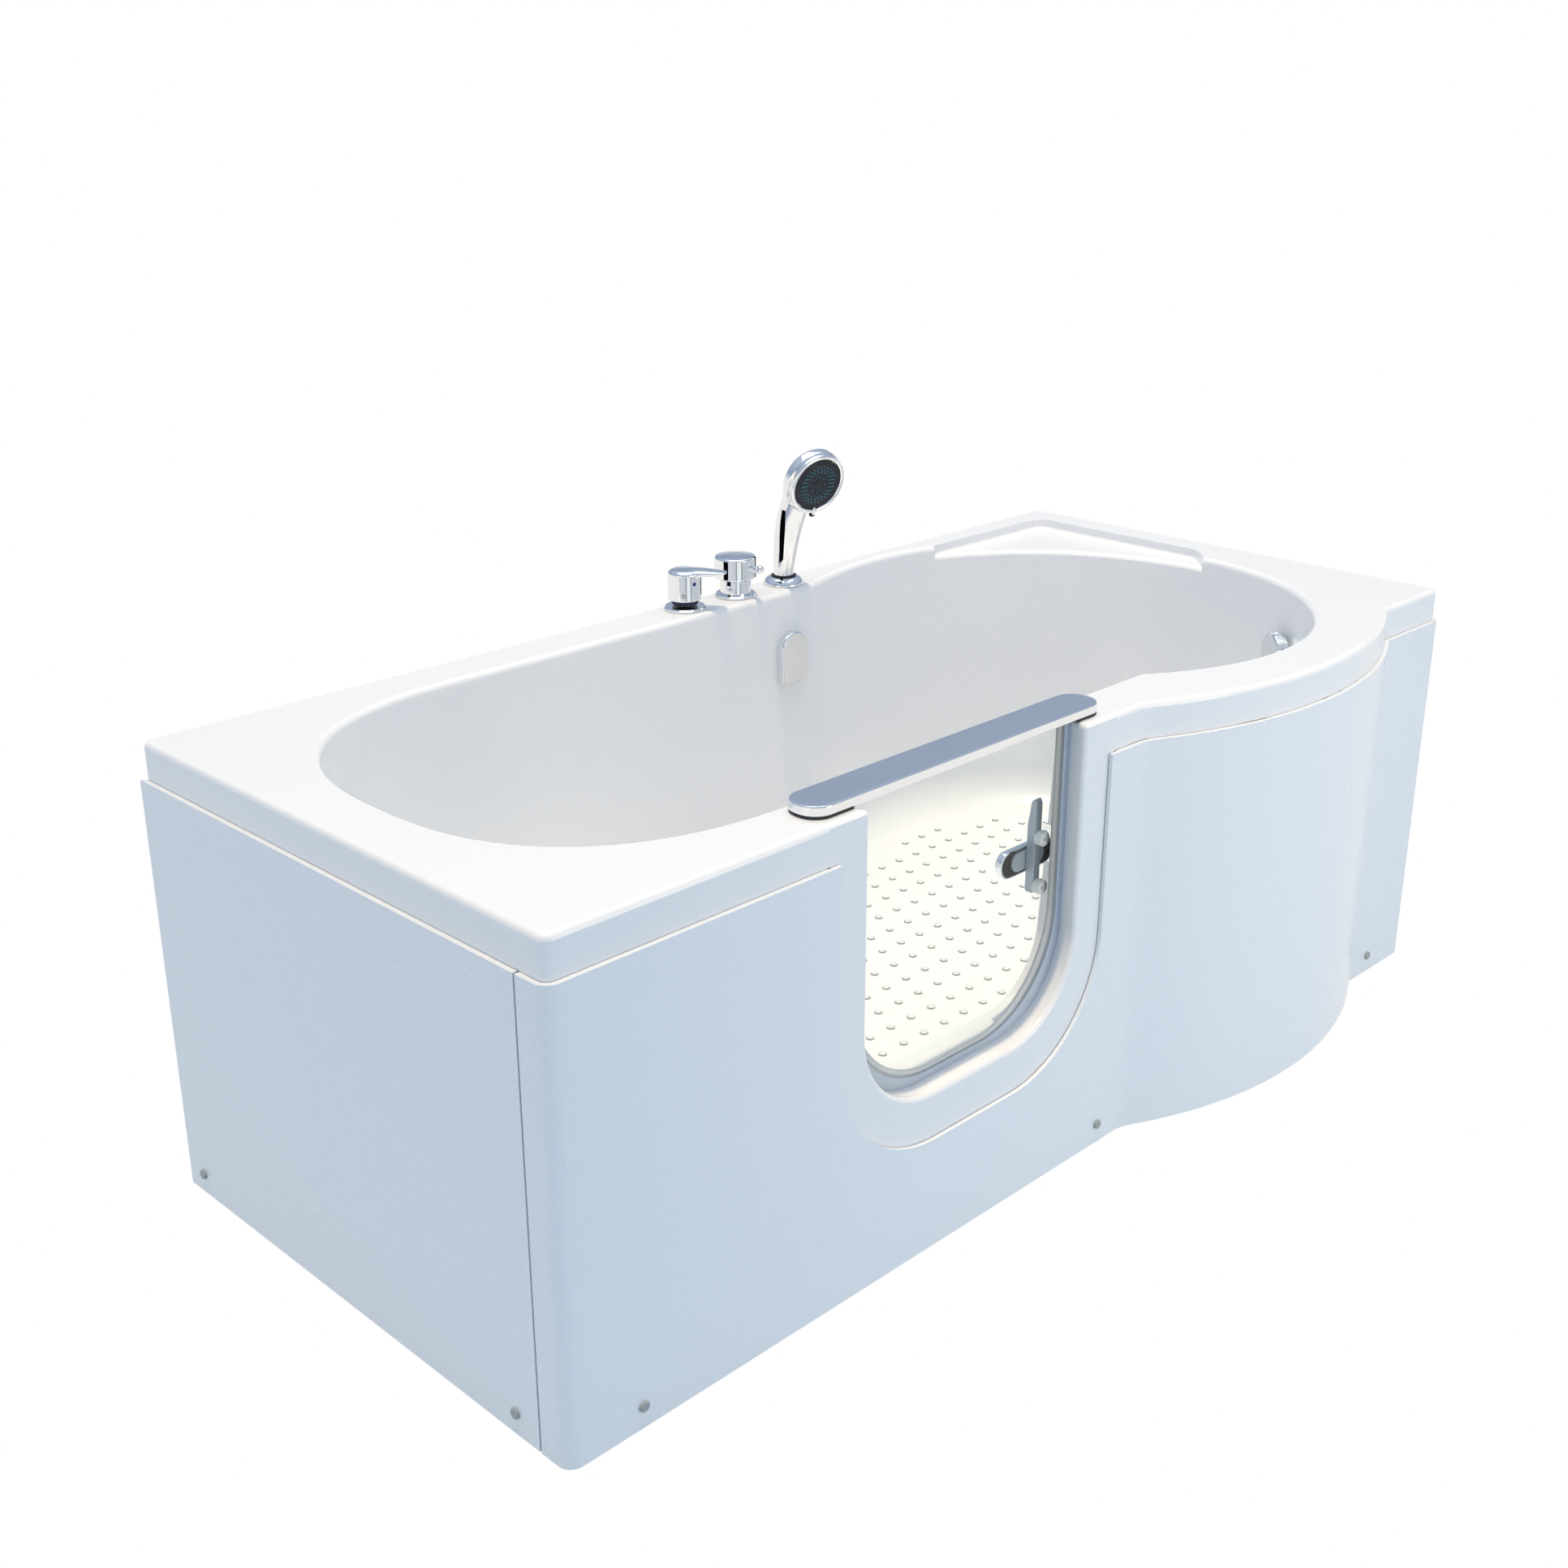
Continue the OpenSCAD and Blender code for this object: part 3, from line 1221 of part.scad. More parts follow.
// A bar with round corners in plan.
module rounded_bar(l, w, h, r)
    linear_extrude(h) polygon(concat(
        arc([r, r], r, 180, 270, 6), arc([l - r, r], r, 270, 360, 6),
        arc([l - r, w - r], r, 0, 90, 6), arc([r, w - r], r, 90, 180, 6)
    ));

module top_rail() color("#8b9db6") at_origin()
    difference() {
        translate([rail_x0, rail_y0, rail_z0]) rounded_bar(rail_l, rail_w, rail_t, 22);
        translate([door_x - glass_w / 2 - 0.1, glass_y - 0.1, rail_z0 - 1])
            cube([glass_w + 0.2, glass_t + 0.2, glass_top - rail_z0 + 1]);
    }

pad_left = door_x - door_w / 2 - door_edge_r - rail_x0 - 4;
pad_right = rail_x0 + rail_l - door_x - door_w / 2 - door_edge_r - 4;
module rail_pads() color("#141618") at_origin()
    difference() {
        translate([rail_x0 + 1, rail_y0 + 1, rim_z + gap])
            rounded_bar(rail_l - 2, rail_w - 2, rail_pad_t, 21);
        translate([rail_x0 + pad_left, rail_y0, rim_z])
            cube([rail_l - pad_left - pad_right, rail_w, rail_pad_t + 1]);
        translate([door_x - glass_w / 2 - 0.1, glass_y - 0.1, rim_z])
            cube([glass_w + 0.2, glass_t + 0.2, rail_pad_t + 1]);
    }

module at_hinges() for (z = [hinge_low_z, hinge_high_z]) translate([hinge_x, hinge_y, z]) children();

// The brackets on the rebate's side, each with two ears round a leaf's knuckle.
module hinge_brackets() color("silver") at_origin() at_hinges()
    difference() {
        union() {
            translate([rebate_x - hinge_x, -knuckle_d / 2, -leaf_h / 2 - ear_t])
                cube([4, knuckle_d, leaf_h + 2 * ear_t]);
            for (z = [-leaf_h / 2 - ear_t, leaf_h / 2]) translate([0, 0, z]) {
                cylinder(d = knuckle_d, h = ear_t - gap);
                translate([rebate_x - hinge_x, -knuckle_d / 2, 0])
                    cube([hinge_x - rebate_x, knuckle_d, ear_t - gap]);
            }
        }
        translate([0, 0, -leaf_h]) cylinder(d = hinge_pin_d, h = 2 * leaf_h);
    }

module hinge_pins() color("silver") at_origin() at_hinges() {
    translate([0, 0, -leaf_h / 2 - ear_t]) cylinder(d = hinge_pin_d, h = leaf_h + 2 * ear_t - gap);
    translate([0, 0, leaf_h / 2 + ear_t - gap]) cylinder(d = hinge_pin_d + 4, h = 2.5);
}

module hinge_leaves() color("silver") at_origin() at_hinges()
    difference() {
        union() {
            translate([0, 0, -leaf_h / 2]) cylinder(d = knuckle_d, h = leaf_h - gap);
            translate([0, glass_in - hinge_y, -leaf_h / 2]) cube([leaf_l, leaf_t, leaf_h - gap]);
            translate([0, glass_in - hinge_y, -leaf_h / 2])
                cube([knuckle_d / 2, hinge_y - glass_in, leaf_h - gap]);
        }
        translate([0, 0, -leaf_h]) cylinder(r = hinge_pin_d / 2 + fit, h = 2 * leaf_h);
        for (x = leaf_screws) facing_front(x, 0, 0) cylinder(d = 5, h = over);
    }

module hinge_screws() color("#9aa1a8") at_origin() at_hinges()
    for (x = leaf_screws) translate([x, glass_in - hinge_y + leaf_t, 0]) rotate([-90, 0, 0]) {
        cylinder(d1 = 9, d2 = 7, h = 3);
        translate([0, 0, -leaf_t]) cylinder(d = 5, h = leaf_t + eps);
    }

// ---------------------------------------------------------------- latch

module at_latch(y) translate([latch_x, y, latch_z]) children();

// The bar on its two standoffs. Its upper end is drawn out and thinned.
module latch_bar() color("#8794a3") at_origin() at_latch(bar_y)
    difference() {
        rotate([90, 0, 90]) translate([0, 0, -bar_w / 2]) linear_extrude(bar_w)
            polygon([[0, -42], [bar_d, -42], [bar_d, 48], [bar_d - 4, 62], [5, 82], [0, 82]]);
        rotate([-90, 0, 0]) translate([0, 0, 1.5]) cylinder(r = spindle_d / 2 + fit, h = bar_d);
        for (z = [-1, 1]) translate([0, -1, z * standoff_pitch / 2]) rotate([-90, 0, 0])
            cylinder(d = 4.4, h = 9);
    }

module latch_standoffs() color("#aab3bd") at_origin() at_latch(bar_y)
    for (z = [-1, 1]) translate([0, 0, z * standoff_pitch / 2]) rotate([90, 0, 0])
        difference() {
            union() {
                cylinder(d = standoff_d, h = standoff_l);
                translate([0, 0, -7]) cylinder(d = 4.2, h = 8);
            }
            translate([0, 0, standoff_l - 5]) cylinder(d = 4.4, h = 6);
        }

module latch_spindle() color("#8b9096") at_origin() at_latch(bar_y + 2) rotate([-90, 0, 0])
    cylinder(d = spindle_d, h = blade_y + 6 - bar_y - 2);

// A flat shape with round ends, length l and height w, along Z from 0 to h.
module slot_shape(l, w, h)
    linear_extrude(h) union() {
        square([l - w, w], center = true);
        for (s = [-1, 1]) translate([s * (l - w) / 2, 0]) circle(d = w);
    }

// The lever: a hollow bright cap that opens towards the glass.
module latch_lever() color("silver") at_origin() at_latch(blade_y) rotate([-90, 0, 0])
    difference() {
        union() {
            slot_shape(lever_l, lever_w, blade_t - 3);
            translate([0, 0, blade_t - 3 - eps]) slot_shape(lever_l - 6, lever_w - 6, 3);
        }
        translate([0, 0, -1]) slot_shape(lever_l - 4, lever_w - 4, blade_t - 4);
    }

// The dark liner that fills the lever, and its grey hub plate.
module lever_liner() color("#15171a") at_origin() at_latch(blade_y) rotate([-90, 0, 0])
    difference() {
        union() {
            translate([0, 0, 1]) slot_shape(lever_l - 4, lever_w - 4, blade_t - 6);
            translate([0, 0, -hub_t + gap]) slot_shape(63, 26, hub_t + 1);
        }
        translate([0, 0, -over]) cylinder(d = spindle_d, h = over + 6);
    }

// The keeper on the rebate's side. Its nose stops just short of the lever's sweep.
module latch_keeper() color("silver") at_origin() {
    x1 = door_x + rebate_w / 2;
    nose = x1 - latch_x - lever_l / 2 - 1.5;
    difference() {
        union() {
            translate([x1 - 3, glass_in, latch_z - keeper_h / 2])
                cube([3, blade_y + blade_t - glass_in + 8, keeper_h]);
            translate([x1 - nose, blade_y + blade_t + 2, latch_z - 14]) cube([nose, 6, 28]);
        }
        for (z = [-1, 1]) translate([x1 - 4, glass_in + 12, latch_z + z * (keeper_h / 2 - 6)])
            rotate([0, 90, 0]) cylinder(d = 4, h = 6);
    }
}

// ---------------------------------------------------------------- drawing

tub_shell();
front_panel();
end_panel();
panel_brackets();
panel_screws();
base_board();
frame_rails();
frame_crossbars();
frame_posts();
foot_stems();
foot_nuts();
foot_pads();
waste_flange();
waste_plug();
waste_gasket();
waste_body();
waste_trap();
overflow_rose();
overflow_body();
overflow_pipe();
overflow_knob();
filler_plate();
filler_tail();
mixer_ring();
mixer_valve();
mixer_ball();
mixer_pivot();
mixer_handle();
mixer_dot();
mixer_grub_screw();
diverter_ring();
diverter_neck();
diverter_valve();
diverter_spindle();
diverter_cap();
diverter_pin();
link_pipes();
shower_holder();
holder_gasket();
hose_guide();
shower_handle();
shower_head();
spray_face();
spray_nozzles();
spray_tab();
door_profile();
door_glass();
door_seal();
top_rail();
rail_pads();
hinge_brackets();
hinge_pins();
hinge_leaves();
hinge_screws();
latch_bar();
latch_standoffs();
latch_spindle();
latch_lever();
lever_liner();
latch_keeper();
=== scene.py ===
import math

import bpy
from mathutils import Matrix, Vector


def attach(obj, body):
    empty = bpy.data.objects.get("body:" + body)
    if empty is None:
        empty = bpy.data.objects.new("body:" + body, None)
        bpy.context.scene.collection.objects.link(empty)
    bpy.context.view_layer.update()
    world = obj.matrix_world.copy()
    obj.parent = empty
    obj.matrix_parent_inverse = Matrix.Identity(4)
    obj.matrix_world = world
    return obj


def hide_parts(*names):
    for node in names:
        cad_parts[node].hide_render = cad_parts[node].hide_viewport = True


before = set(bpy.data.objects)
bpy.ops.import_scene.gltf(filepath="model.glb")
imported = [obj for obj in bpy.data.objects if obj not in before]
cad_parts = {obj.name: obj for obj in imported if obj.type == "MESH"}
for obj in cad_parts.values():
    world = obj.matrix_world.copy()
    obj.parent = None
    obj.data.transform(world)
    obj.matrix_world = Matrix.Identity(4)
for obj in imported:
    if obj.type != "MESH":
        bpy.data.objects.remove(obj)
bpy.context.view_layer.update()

# ------------------------ camera, lamps and floor
# The bath stands on a white studio floor under a large soft lamp, two warm lamps and a weak
# warm sun, in a bluish room. The camera looks down at it from the front corner of the head end.
VIEW_FROM = (-1.796055, -1.592460, 1.347803)
VIEW_TURN = (68.974, 0.073, -45.039)


def placed(name, data):
    """An object with this data, linked to the scene."""
    made = bpy.data.objects.new(name, data)
    bpy.context.scene.collection.objects.link(made)
    return made


camera = placed("camera", bpy.data.cameras.new("camera"))
camera.location = VIEW_FROM
camera.rotation_euler = [math.radians(a) for a in VIEW_TURN]
camera.data.sensor_width = 36.0
camera.data.lens = 43.543
camera.data.clip_end = 60.0
bpy.context.scene.camera = camera
bpy.context.scene.view_settings.view_transform = "Standard"


def lamp(name, kind, at, look, watts, colour, **shape):
    """A lamp at a place, turned towards a point. shape is its size or its angle."""
    made = placed(name, bpy.data.lights.new(name, kind))
    made.data.energy, made.data.color = watts, colour
    for key, value in shape.items():
        setattr(made.data, key, value)
    made.location = at
    made.rotation_euler = (Vector(look) - Vector(at)).to_track_quat("-Z", "Y").to_euler()


lamp("top_lamp", "AREA", (0.3, 0.3, 3.4), (0, 0, 0.3), 28.8, (0.97, 0.985, 1.0), size=2.6)
lamp("front_lamp", "AREA", (0.40, -1.9, 0.8), (0.38, 0, 0.35), 7.8, (1.0, 0.845, 0.655), size=0.9)
lamp("left_lamp", "AREA", (-3.4, -0.4, 1.0), (-0.6, 0, 0.3), 5.4, (1.0, 0.62, 0.30), size=1.8)
lamp("sun_lamp", "SUN", (0, 0, 0), (0.05, 0.012, -1), 2.04, (1.0, 0.79, 0.51), angle=math.radians(1.2))


class Wire:
    """An output of a node in a material or in the world. Sums on it add Math nodes."""

    def __init__(self, tree, socket=None):
        self.tree, self.socket = tree, socket

    def node(self, kind, settings=None, values=None, out=0):
        """Adds a node: its settings first, then the values or links of its sockets."""
        made = self.tree.nodes.new(kind)
        for key, value in (settings or {}).items():
            if key == "stops":
                while len(made.color_ramp.elements) < len(value):
                    made.color_ramp.elements.new(0.5)
                for stop, (place, colour) in zip(made.color_ramp.elements, value):
                    stop.position, stop.color = place, colour
            else:
                setattr(made, key, value)
        for key, value in (values or {}).items():
            if isinstance(value, Wire):
                self.tree.links.new(value.socket, made.inputs[key])
            else:
                made.inputs[key].default_value = value
        return Wire(self.tree, made.outputs[out] if len(made.outputs) else None)

    def math(self, operation, a, b):
        return self.node("ShaderNodeMath", {"operation": operation}, {0: a, 1: b})

    def __add__(self, other):
        return self.math("ADD", self, other)

    def __radd__(self, other):
        return self.math("ADD", other, self)

    def __sub__(self, other):
        return self.math("SUBTRACT", self, other)

    def __rsub__(self, other):
        return self.math("SUBTRACT", other, self)

    def __mul__(self, other):
        return self.math("MULTIPLY", self, other)

    def __rmul__(self, other):
        return self.math("MULTIPLY", other, self)

    def mix(self, low, high):
        """A colour between two, by this value."""
        return self.node("ShaderNodeMix", {"data_type": "RGBA"}, {0: self, 6: low, 7: high}, out=2)

    def noise(self, scale, detail):
        """Noise of this place."""
        return self.node("ShaderNodeTexNoise", None, {"Vector": self, "Scale": scale, "Detail": detail})

    def bump(self, strength, distance):
        """The normal that this height gives."""
        return self.node("ShaderNodeBump", None,
                         {"Strength": strength, "Distance": distance, "Height": self})


def turn(degrees, axis):
    return Matrix.Rotation(math.radians(degrees), 4, axis)


def for_rays(rays, chosen, rest):
    """A shader that one or two kinds of ray see in place of the rest."""
    first, second = ([rest.node("ShaderNodeLightPath", out=ray) for ray in rays] + [0])[:2]
    return rest.node("ShaderNodeMixShader", None,
                     {0: rest.math("MAXIMUM", first, second), 1: rest, 2: chosen})


def stage_plane(name, placing, surface):
    """A flat square of side 1, put in place, that belongs to the studio."""
    bpy.ops.object.select_all(action="DESELECT")
    bpy.ops.mesh.primitive_plane_add(size=1)
    plane = bpy.context.object
    plane.name = name
    plane.data.transform(placing)
    material = bpy.data.materials.new(name)
    material.use_nodes = True
    material.node_tree.nodes.clear()
    start = Wire(material.node_tree)
    start.node("ShaderNodeOutputMaterial", None, {"Surface": surface(start)})
    plane.data.materials.append(material)
    return plane


# The camera and the glass see a white room. Metal sees it grey-blue above and white at its edge.
WHITE = (1, 1, 1, 1)
SEEN_RAYS = ("Is Camera Ray", "Is Transmission Ray")
MIRROR_RAYS = ("Is Glossy Ray",)
world = bpy.data.worlds.new("studio")
bpy.context.scene.world = world
world.use_nodes = True
world.node_tree.nodes.clear()
air = Wire(world.node_tree)
heading = air.node("ShaderNodeTexCoord", out="Generated")
up = air.node("ShaderNodeSeparateXYZ", None, {0: heading}, out="Z")
wall_tone = air.node("ShaderNodeValToRGB", {"stops": (
    (0.0, (0.95, 0.94, 0.92, 1)), (0.10, (0.66, 0.71, 0.78, 1)), (0.30, (0.30, 0.37, 0.48, 1)),
    (0.85, (0.52, 0.60, 0.72, 1)))}, {0: up})
white_room, mirror_room, lit_room = [
    air.node("ShaderNodeBackground", None, {"Color": colour, "Strength": strength})
    for colour, strength in ((WHITE, 1.0), (wall_tone, 1.0), ((0.60, 0.77, 1.0, 1), 0.61))]
air.node("ShaderNodeOutputWorld", None, {
    "Surface": for_rays(SEEN_RAYS, white_room, for_rays(MIRROR_RAYS, mirror_room, lit_room))})


def floor_surface(start):
    matt = start.node("ShaderNodeBsdfDiffuse", None, {"Color": (0.46, 0.61, 0.76, 1)})
    warm, white = [start.node("ShaderNodeEmission", None, {"Color": colour, "Strength": 1.0})
                   for colour in ((1.0, 0.965, 0.92, 1), WHITE)]
    return for_rays(SEEN_RAYS, white, for_rays(MIRROR_RAYS, warm, matt))


def card_surface(start):
    return start.node("ShaderNodeBsdfDiffuse", None, {"Color": (0.005, 0.005, 0.006, 1)})


stage_plane("studio_floor", Matrix.Translation((0, 0, -0.0005)) @ Matrix.Scale(40, 4), floor_surface)

# Two black cards stand between the taps. Only metal sees them, as upright dark bands.
for name, card_at, card_w, card_h in (("left_card", (0.030, 0.377, 0.633), 0.018, 0.042),
                                      ("right_card", (0.148, 0.372, 0.670), 0.021, 0.090)):
    card = stage_plane(name, Matrix.Translation(card_at) @ turn(90, "Y")
                       @ Matrix.Diagonal((card_h, card_w, 1, 1)), card_surface)
    card.visible_camera = card.visible_diffuse = card.visible_shadow = card.visible_transmission = False

# ------------------------ acrylic tub
# The tub is one sheet of white cast acrylic, drawn down over a mould, so every edge is round.
# Its rim turns down into a skirt, and the doorway, the door's rebate and the shelf are in the
# same sheet. All lengths of the tub are in millimetres from the left front corner of the rim.
TO_SCENE = Matrix.Translation((-0.85, -0.337, 0)) @ Matrix.Scale(0.001, 4)
RIM_L, RIM_W, RIM_Z = 1700, 757, 600
SHEET = 7
SKIRT_Z, FLOOR_Z = 552, 150
CORNER_R, EDGE_R, COVE_R, LIP_R = 12, 8, 60, 9
LIP_IN = LIP_R * 0.6
WALL_TOP = RIM_Z - LIP_R
UNDER_TOP = RIM_Z - SHEET / 2
OVER = RIM_Z + 50
DRAFT, BACKREST = 25, 120
BOW_X, BOW_HALF, BOW_OUT = 1245, 300, 77
BOW_R = (BOW_HALF ** 2 + BOW_OUT ** 2) / (2 * BOW_OUT)
BOW_START, BOW_STOP = BOW_X - BOW_HALF, BOW_X + BOW_HALF
BOW_START_SOFT, BOW_STOP_SOFT, LEDGE_SOFT = 10, 4, 8
HEAD_X, HEAD_Y, HEAD_A, HEAD_B, HEAD_POWER = 414, 380, 340, 308, 2.5
FOOT_X, FOOT_Y, FOOT_A, FOOT_B = 1258, 365, 355, 365
SWELL_FRONT, SWELL_BACK = 368, 450
LEDGE_FRONT, LEDGE_BACK = 72, 69
DOOR_X, DOOR_W, SILL_Z, DOOR_R = 630.5, 382, 209, 120
REVEAL_D, REVEAL_OUT, REVEAL_SOFT = 28, 7, 6
LAND_W, LAND_Y = DOOR_W + 2 * REVEAL_OUT, 31
REBATE_W, REBATE_Z, REBATE_R, REBATE_BACK = DOOR_W + 89, 195, 100, 132
BAND_W, BAND_Z, BAND_R = DOOR_W + 98, 149, 168
REVEAL_FLARE, REBATE_FLARE = 6, 4
SHELF_LEFT, SHELF_RIGHT, SHELF_BACK, SHELF_Z = 1366, 1650, 714, RIM_Z - 16
WASTE_X, WASTE_Y, WASTE_HOLE_R = 1400, 365, 26
TAP_Y, MIXER_X, DIVERTER_X, SHOWER_X = 722, 830, 931, 1032
TAP_HOLE_R, SHOWER_HOLE_R = 17, 19.5


def cos_d(a):
    return math.cos(math.radians(a))


def sin_d(a):
    return math.sin(math.radians(a))


def steps(a, b, n):
    return [a + (b - a) * k / n for k in range(n + 1)]


def arc(x, y, r, a0, a1, n):
    return [(x + r * cos_d(a), y + r * sin_d(a)) for a in steps(a0, a1, n)]


def quarter(r, a0, a1, n):
    """How far a rounded edge is from its two faces, from the first face to the second."""
    return [(r * (1 - sin_d(a)), r * (1 - cos_d(a))) for a in steps(a0, a1, n)]


def soft(width, gap):
    """What a soft crossing of two lines adds where they are this far apart."""
    return max(width - abs(gap), 0) ** 2 / (4 * width)


def bow(x):
    """How far the front stands out of its straight line at x."""
    dx = x - BOW_X
    out = math.sqrt(BOW_R ** 2 - dx * dx) - BOW_R + BOW_OUT if abs(dx) < BOW_R else -BOW_R
    return max(out, 0) + soft(BOW_START_SOFT if dx < 0 else BOW_STOP_SOFT, out)


def angle_to(cx, cy, x, y):
    return math.degrees(math.atan2(y - cy, x - cx))


def to_rim(cx, cy, angles):
    """Where rays from a centre meet the rim's line."""
    points = []
    for a in angles:
        c, s = cos_d(a), sin_d(a)
        tx = (RIM_L - cx) / c if c > 1e-6 else -cx / c if c < -1e-6 else math.inf
        ty = (RIM_W - cy) / s if s > 1e-6 else -cy / s if s < -1e-6 else math.inf
        x, y = cx + min(tx, ty) * c, cy + min(tx, ty) * s
        points.append((x, -bow(x)) if y < 1e-6 else (x, y))
    return points


def front_points(xs):
    return [(x, -bow(x)) for x in xs]


def rim_stations():
    """Points round the rim, anticlockwise from the back of the head end."""
    near = 2.5
    head_back = angle_to(HEAD_X, HEAD_Y, 0, RIM_W)
    head_front = angle_to(HEAD_X, HEAD_Y, 0, 0) + 360
    foot_front = angle_to(FOOT_X, FOOT_Y, RIM_L, 0)
    foot_back = angle_to(FOOT_X, FOOT_Y, RIM_L, RIM_W)
    kink = FOOT_X - SWELL_FRONT * math.sqrt(1 - ((FOOT_B - LEDGE_FRONT) / FOOT_B) ** 2)

    def head(a0, a1, n):
        return to_rim(HEAD_X, HEAD_Y, steps(a0, a1, n))

    def foot(a0, a1, n):
        return to_rim(FOOT_X, FOOT_Y, steps(a0, a1, n))

    def foot_at(x):
        return angle_to(FOOT_X, FOOT_Y, x, 0)

    def corner(x, y, a0):
        return arc(x, y, CORNER_R, a0, a0 + 90, 8)

    return (
        head(90, head_back - near, 24)
        + corner(CORNER_R, RIM_W - CORNER_R, 90)
        + head(head_back + near, head_front - near, 48)
        + corner(CORNER_R, CORNER_R, 180)
        + head(head_front + near, 270, 24)
        + front_points(steps(HEAD_X + 24, BOW_START - 30, 20))
        + front_points(steps(BOW_START - 26, BOW_START + 34, 15))
        + front_points(steps(BOW_START + 42, kink - 6, 3))
        + front_points(steps(kink, FOOT_X - 8, 28))
        + foot(-90, foot_at(BOW_STOP - 18), 34)
        + to_rim(FOOT_X, FOOT_Y, [foot_at(BOW_STOP + d) for d in range(-15, 19, 3)])
        + foot(foot_at(BOW_STOP + 24), foot_front - near, 8)
        + corner(RIM_L - CORNER_R, CORNER_R, 270)
        + foot(foot_front + near, foot_back - near, 48)
        + corner(RIM_L - CORNER_R, RIM_W - CORNER_R, 0)
        + foot(foot_back + near, 90, 24)
        + [(x, RIM_W) for x in steps(FOOT_X - 10, HEAD_X + 10, 60)]
    )


STATIONS = rim_stations()


def moved(points, d, closed=True):
    """An outline moved by d to the right of its travel, which is out of an anticlockwise one."""
    out = []
    last = len(points) - 1
    for i, (x, y) in enumerate(points):
        if closed:
            (x0, y0), (x1, y1) = points[i - 1], points[(i + 1) % len(points)]
        else:
            (x0, y0), (x1, y1) = points[max(i - 1, 0)], points[min(i + 1, last)]
        length = math.hypot(x1 - x0, y1 - y0)
        out.append((x + d * (y1 - y0) / length, y - d * (x1 - x0) / length))
    return out


def rim_ring(z, inset):
    return [(x, y, z) for x, y in moved(STATIONS, -inset)]


def foot_reach(a, e):
    """How far the bowl's foot end is from its centre at an angle, moved inwards by e."""
    return 1 / math.hypot(math.cos(a) / (FOOT_A - e), math.sin(a) / (FOOT_B - e))


def bowl_point(x, y, e, h):
    """The bowl's point that faces a point of the rim, its sides e and its head end h inwards."""
    if x <= HEAD_X:
        a = math.atan2(y - HEAD_Y, x - HEAD_X)
        c, s = abs(math.cos(a)) / (HEAD_A - h), abs(math.sin(a)) / (HEAD_B - e)
        r = (c ** HEAD_POWER + s ** HEAD_POWER) ** (-1 / HEAD_POWER)
        return HEAD_X + r * math.cos(a), HEAD_Y + r * math.sin(a)
    if x >= FOOT_X:
        a = math.atan2(max(y, 0) - FOOT_Y, x - FOOT_X)
        r = foot_reach(a, e)
        return FOOT_X + r * math.cos(a), FOOT_Y + r * math.sin(a)
    dx, half = FOOT_X - x, FOOT_B - e
    if y < RIM_W / 2:
        swell = SWELL_FRONT - e
        edge = FOOT_Y - half * math.sqrt(1 - (dx / swell) ** 2) if dx < swell else RIM_W
        return x, min(LEDGE_FRONT + e, edge)
    flat = RIM_W - LEDGE_BACK - e
    edge = FOOT_Y + half * math.sqrt(1 - (dx / SWELL_BACK) ** 2) if dx < SWELL_BACK else 0
    return x, max(flat, edge) + soft(LEDGE_SOFT, flat - edge)


def bowl_ring(z, extra, grow):
    share = max((WALL_TOP - z) / (RIM_Z - FLOOR_Z), 0)
    side = LIP_IN + DRAFT * share + extra - grow
    head = LIP_IN + (DRAFT + BACKREST) * share + extra * 1.5 - grow
    return [(*bowl_point(x, y, side, head), z) for x, y in STATIONS]


def cove(z0, grow, n):
    return [bowl_ring(z0 + rise, extra, grow) for extra, rise in quarter(COVE_R, 0, 90, n)]


def only(piece):
    """Selects one piece and nothing else."""
    bpy.ops.object.select_all(action="DESELECT")
    piece.select_set(True)
    bpy.context.view_layer.objects.active = piece


def face_outwards(piece):
    only(piece)
    bpy.ops.object.mode_set(mode="EDIT")
    bpy.ops.mesh.select_all(action="SELECT")
    bpy.ops.mesh.remove_doubles(threshold=1e-6)
    bpy.ops.mesh.normals_make_consistent(inside=False)
    bpy.ops.object.mode_set(mode="OBJECT")


def meshed(name, points, faces, tilt=Matrix()):
    mesh = bpy.data.meshes.new(name)
    mesh.from_pydata(points, [], faces)
    mesh.transform(TO_SCENE @ tilt)
    return placed(name, mesh)


def from_rings(name, rings):
    """A closed solid through rings of equal length, with its normals outwards."""
    n, m = len(rings[0]), len(rings)
    faces = [list(range(n)), [(m - 1) * n + i for i in range(n)]]
    for j in range(m - 1):
        for i in range(n):
            k = (i + 1) % n
            faces.append([j * n + i, j * n + k, (j + 1) * n + k, (j + 1) * n + i])
    piece = meshed(name, [p for ring in rings for p in ring], faces)
    face_outwards(piece)
    return piece


def stack(name, outline, layers):
    """A solid of flat layers. Each has its height, and what its outline is made with."""
    return from_rings(name, [[(x, y, z) for x, y in outline(d)] for z, d in layers])


def apply(piece, kind, **settings):
    """Adds a modifier to the piece and applies it."""
    only(piece)
    step = piece.modifiers.new("step", kind)
    for key, value in settings.items():
        setattr(step, key, value)
    bpy.ops.object.modifier_apply(modifier=step.name)


def combine(piece, other, operation):
    """Combines the piece with another, which it deletes."""
    apply(piece, "BOOLEAN", operation=operation, solver="EXACT", object=other)
    bpy.data.objects.remove(other)


def join(piece, other):
    combine(piece, other, "UNION")


def cut(piece, other):
    combine(piece, other, "DIFFERENCE")


def soften(piece, width, angle=35):
    """Rounds the piece's sharp edges."""
    apply(piece, "BEVEL", width=width / 1000, segments=3, limit_method="ANGLE",
          angle_limit=math.radians(angle), use_clamp_overlap=True)


def smooth(piece, angle):
    only(piece)
    bpy.ops.object.shade_smooth_by_angle(angle=math.radians(angle))


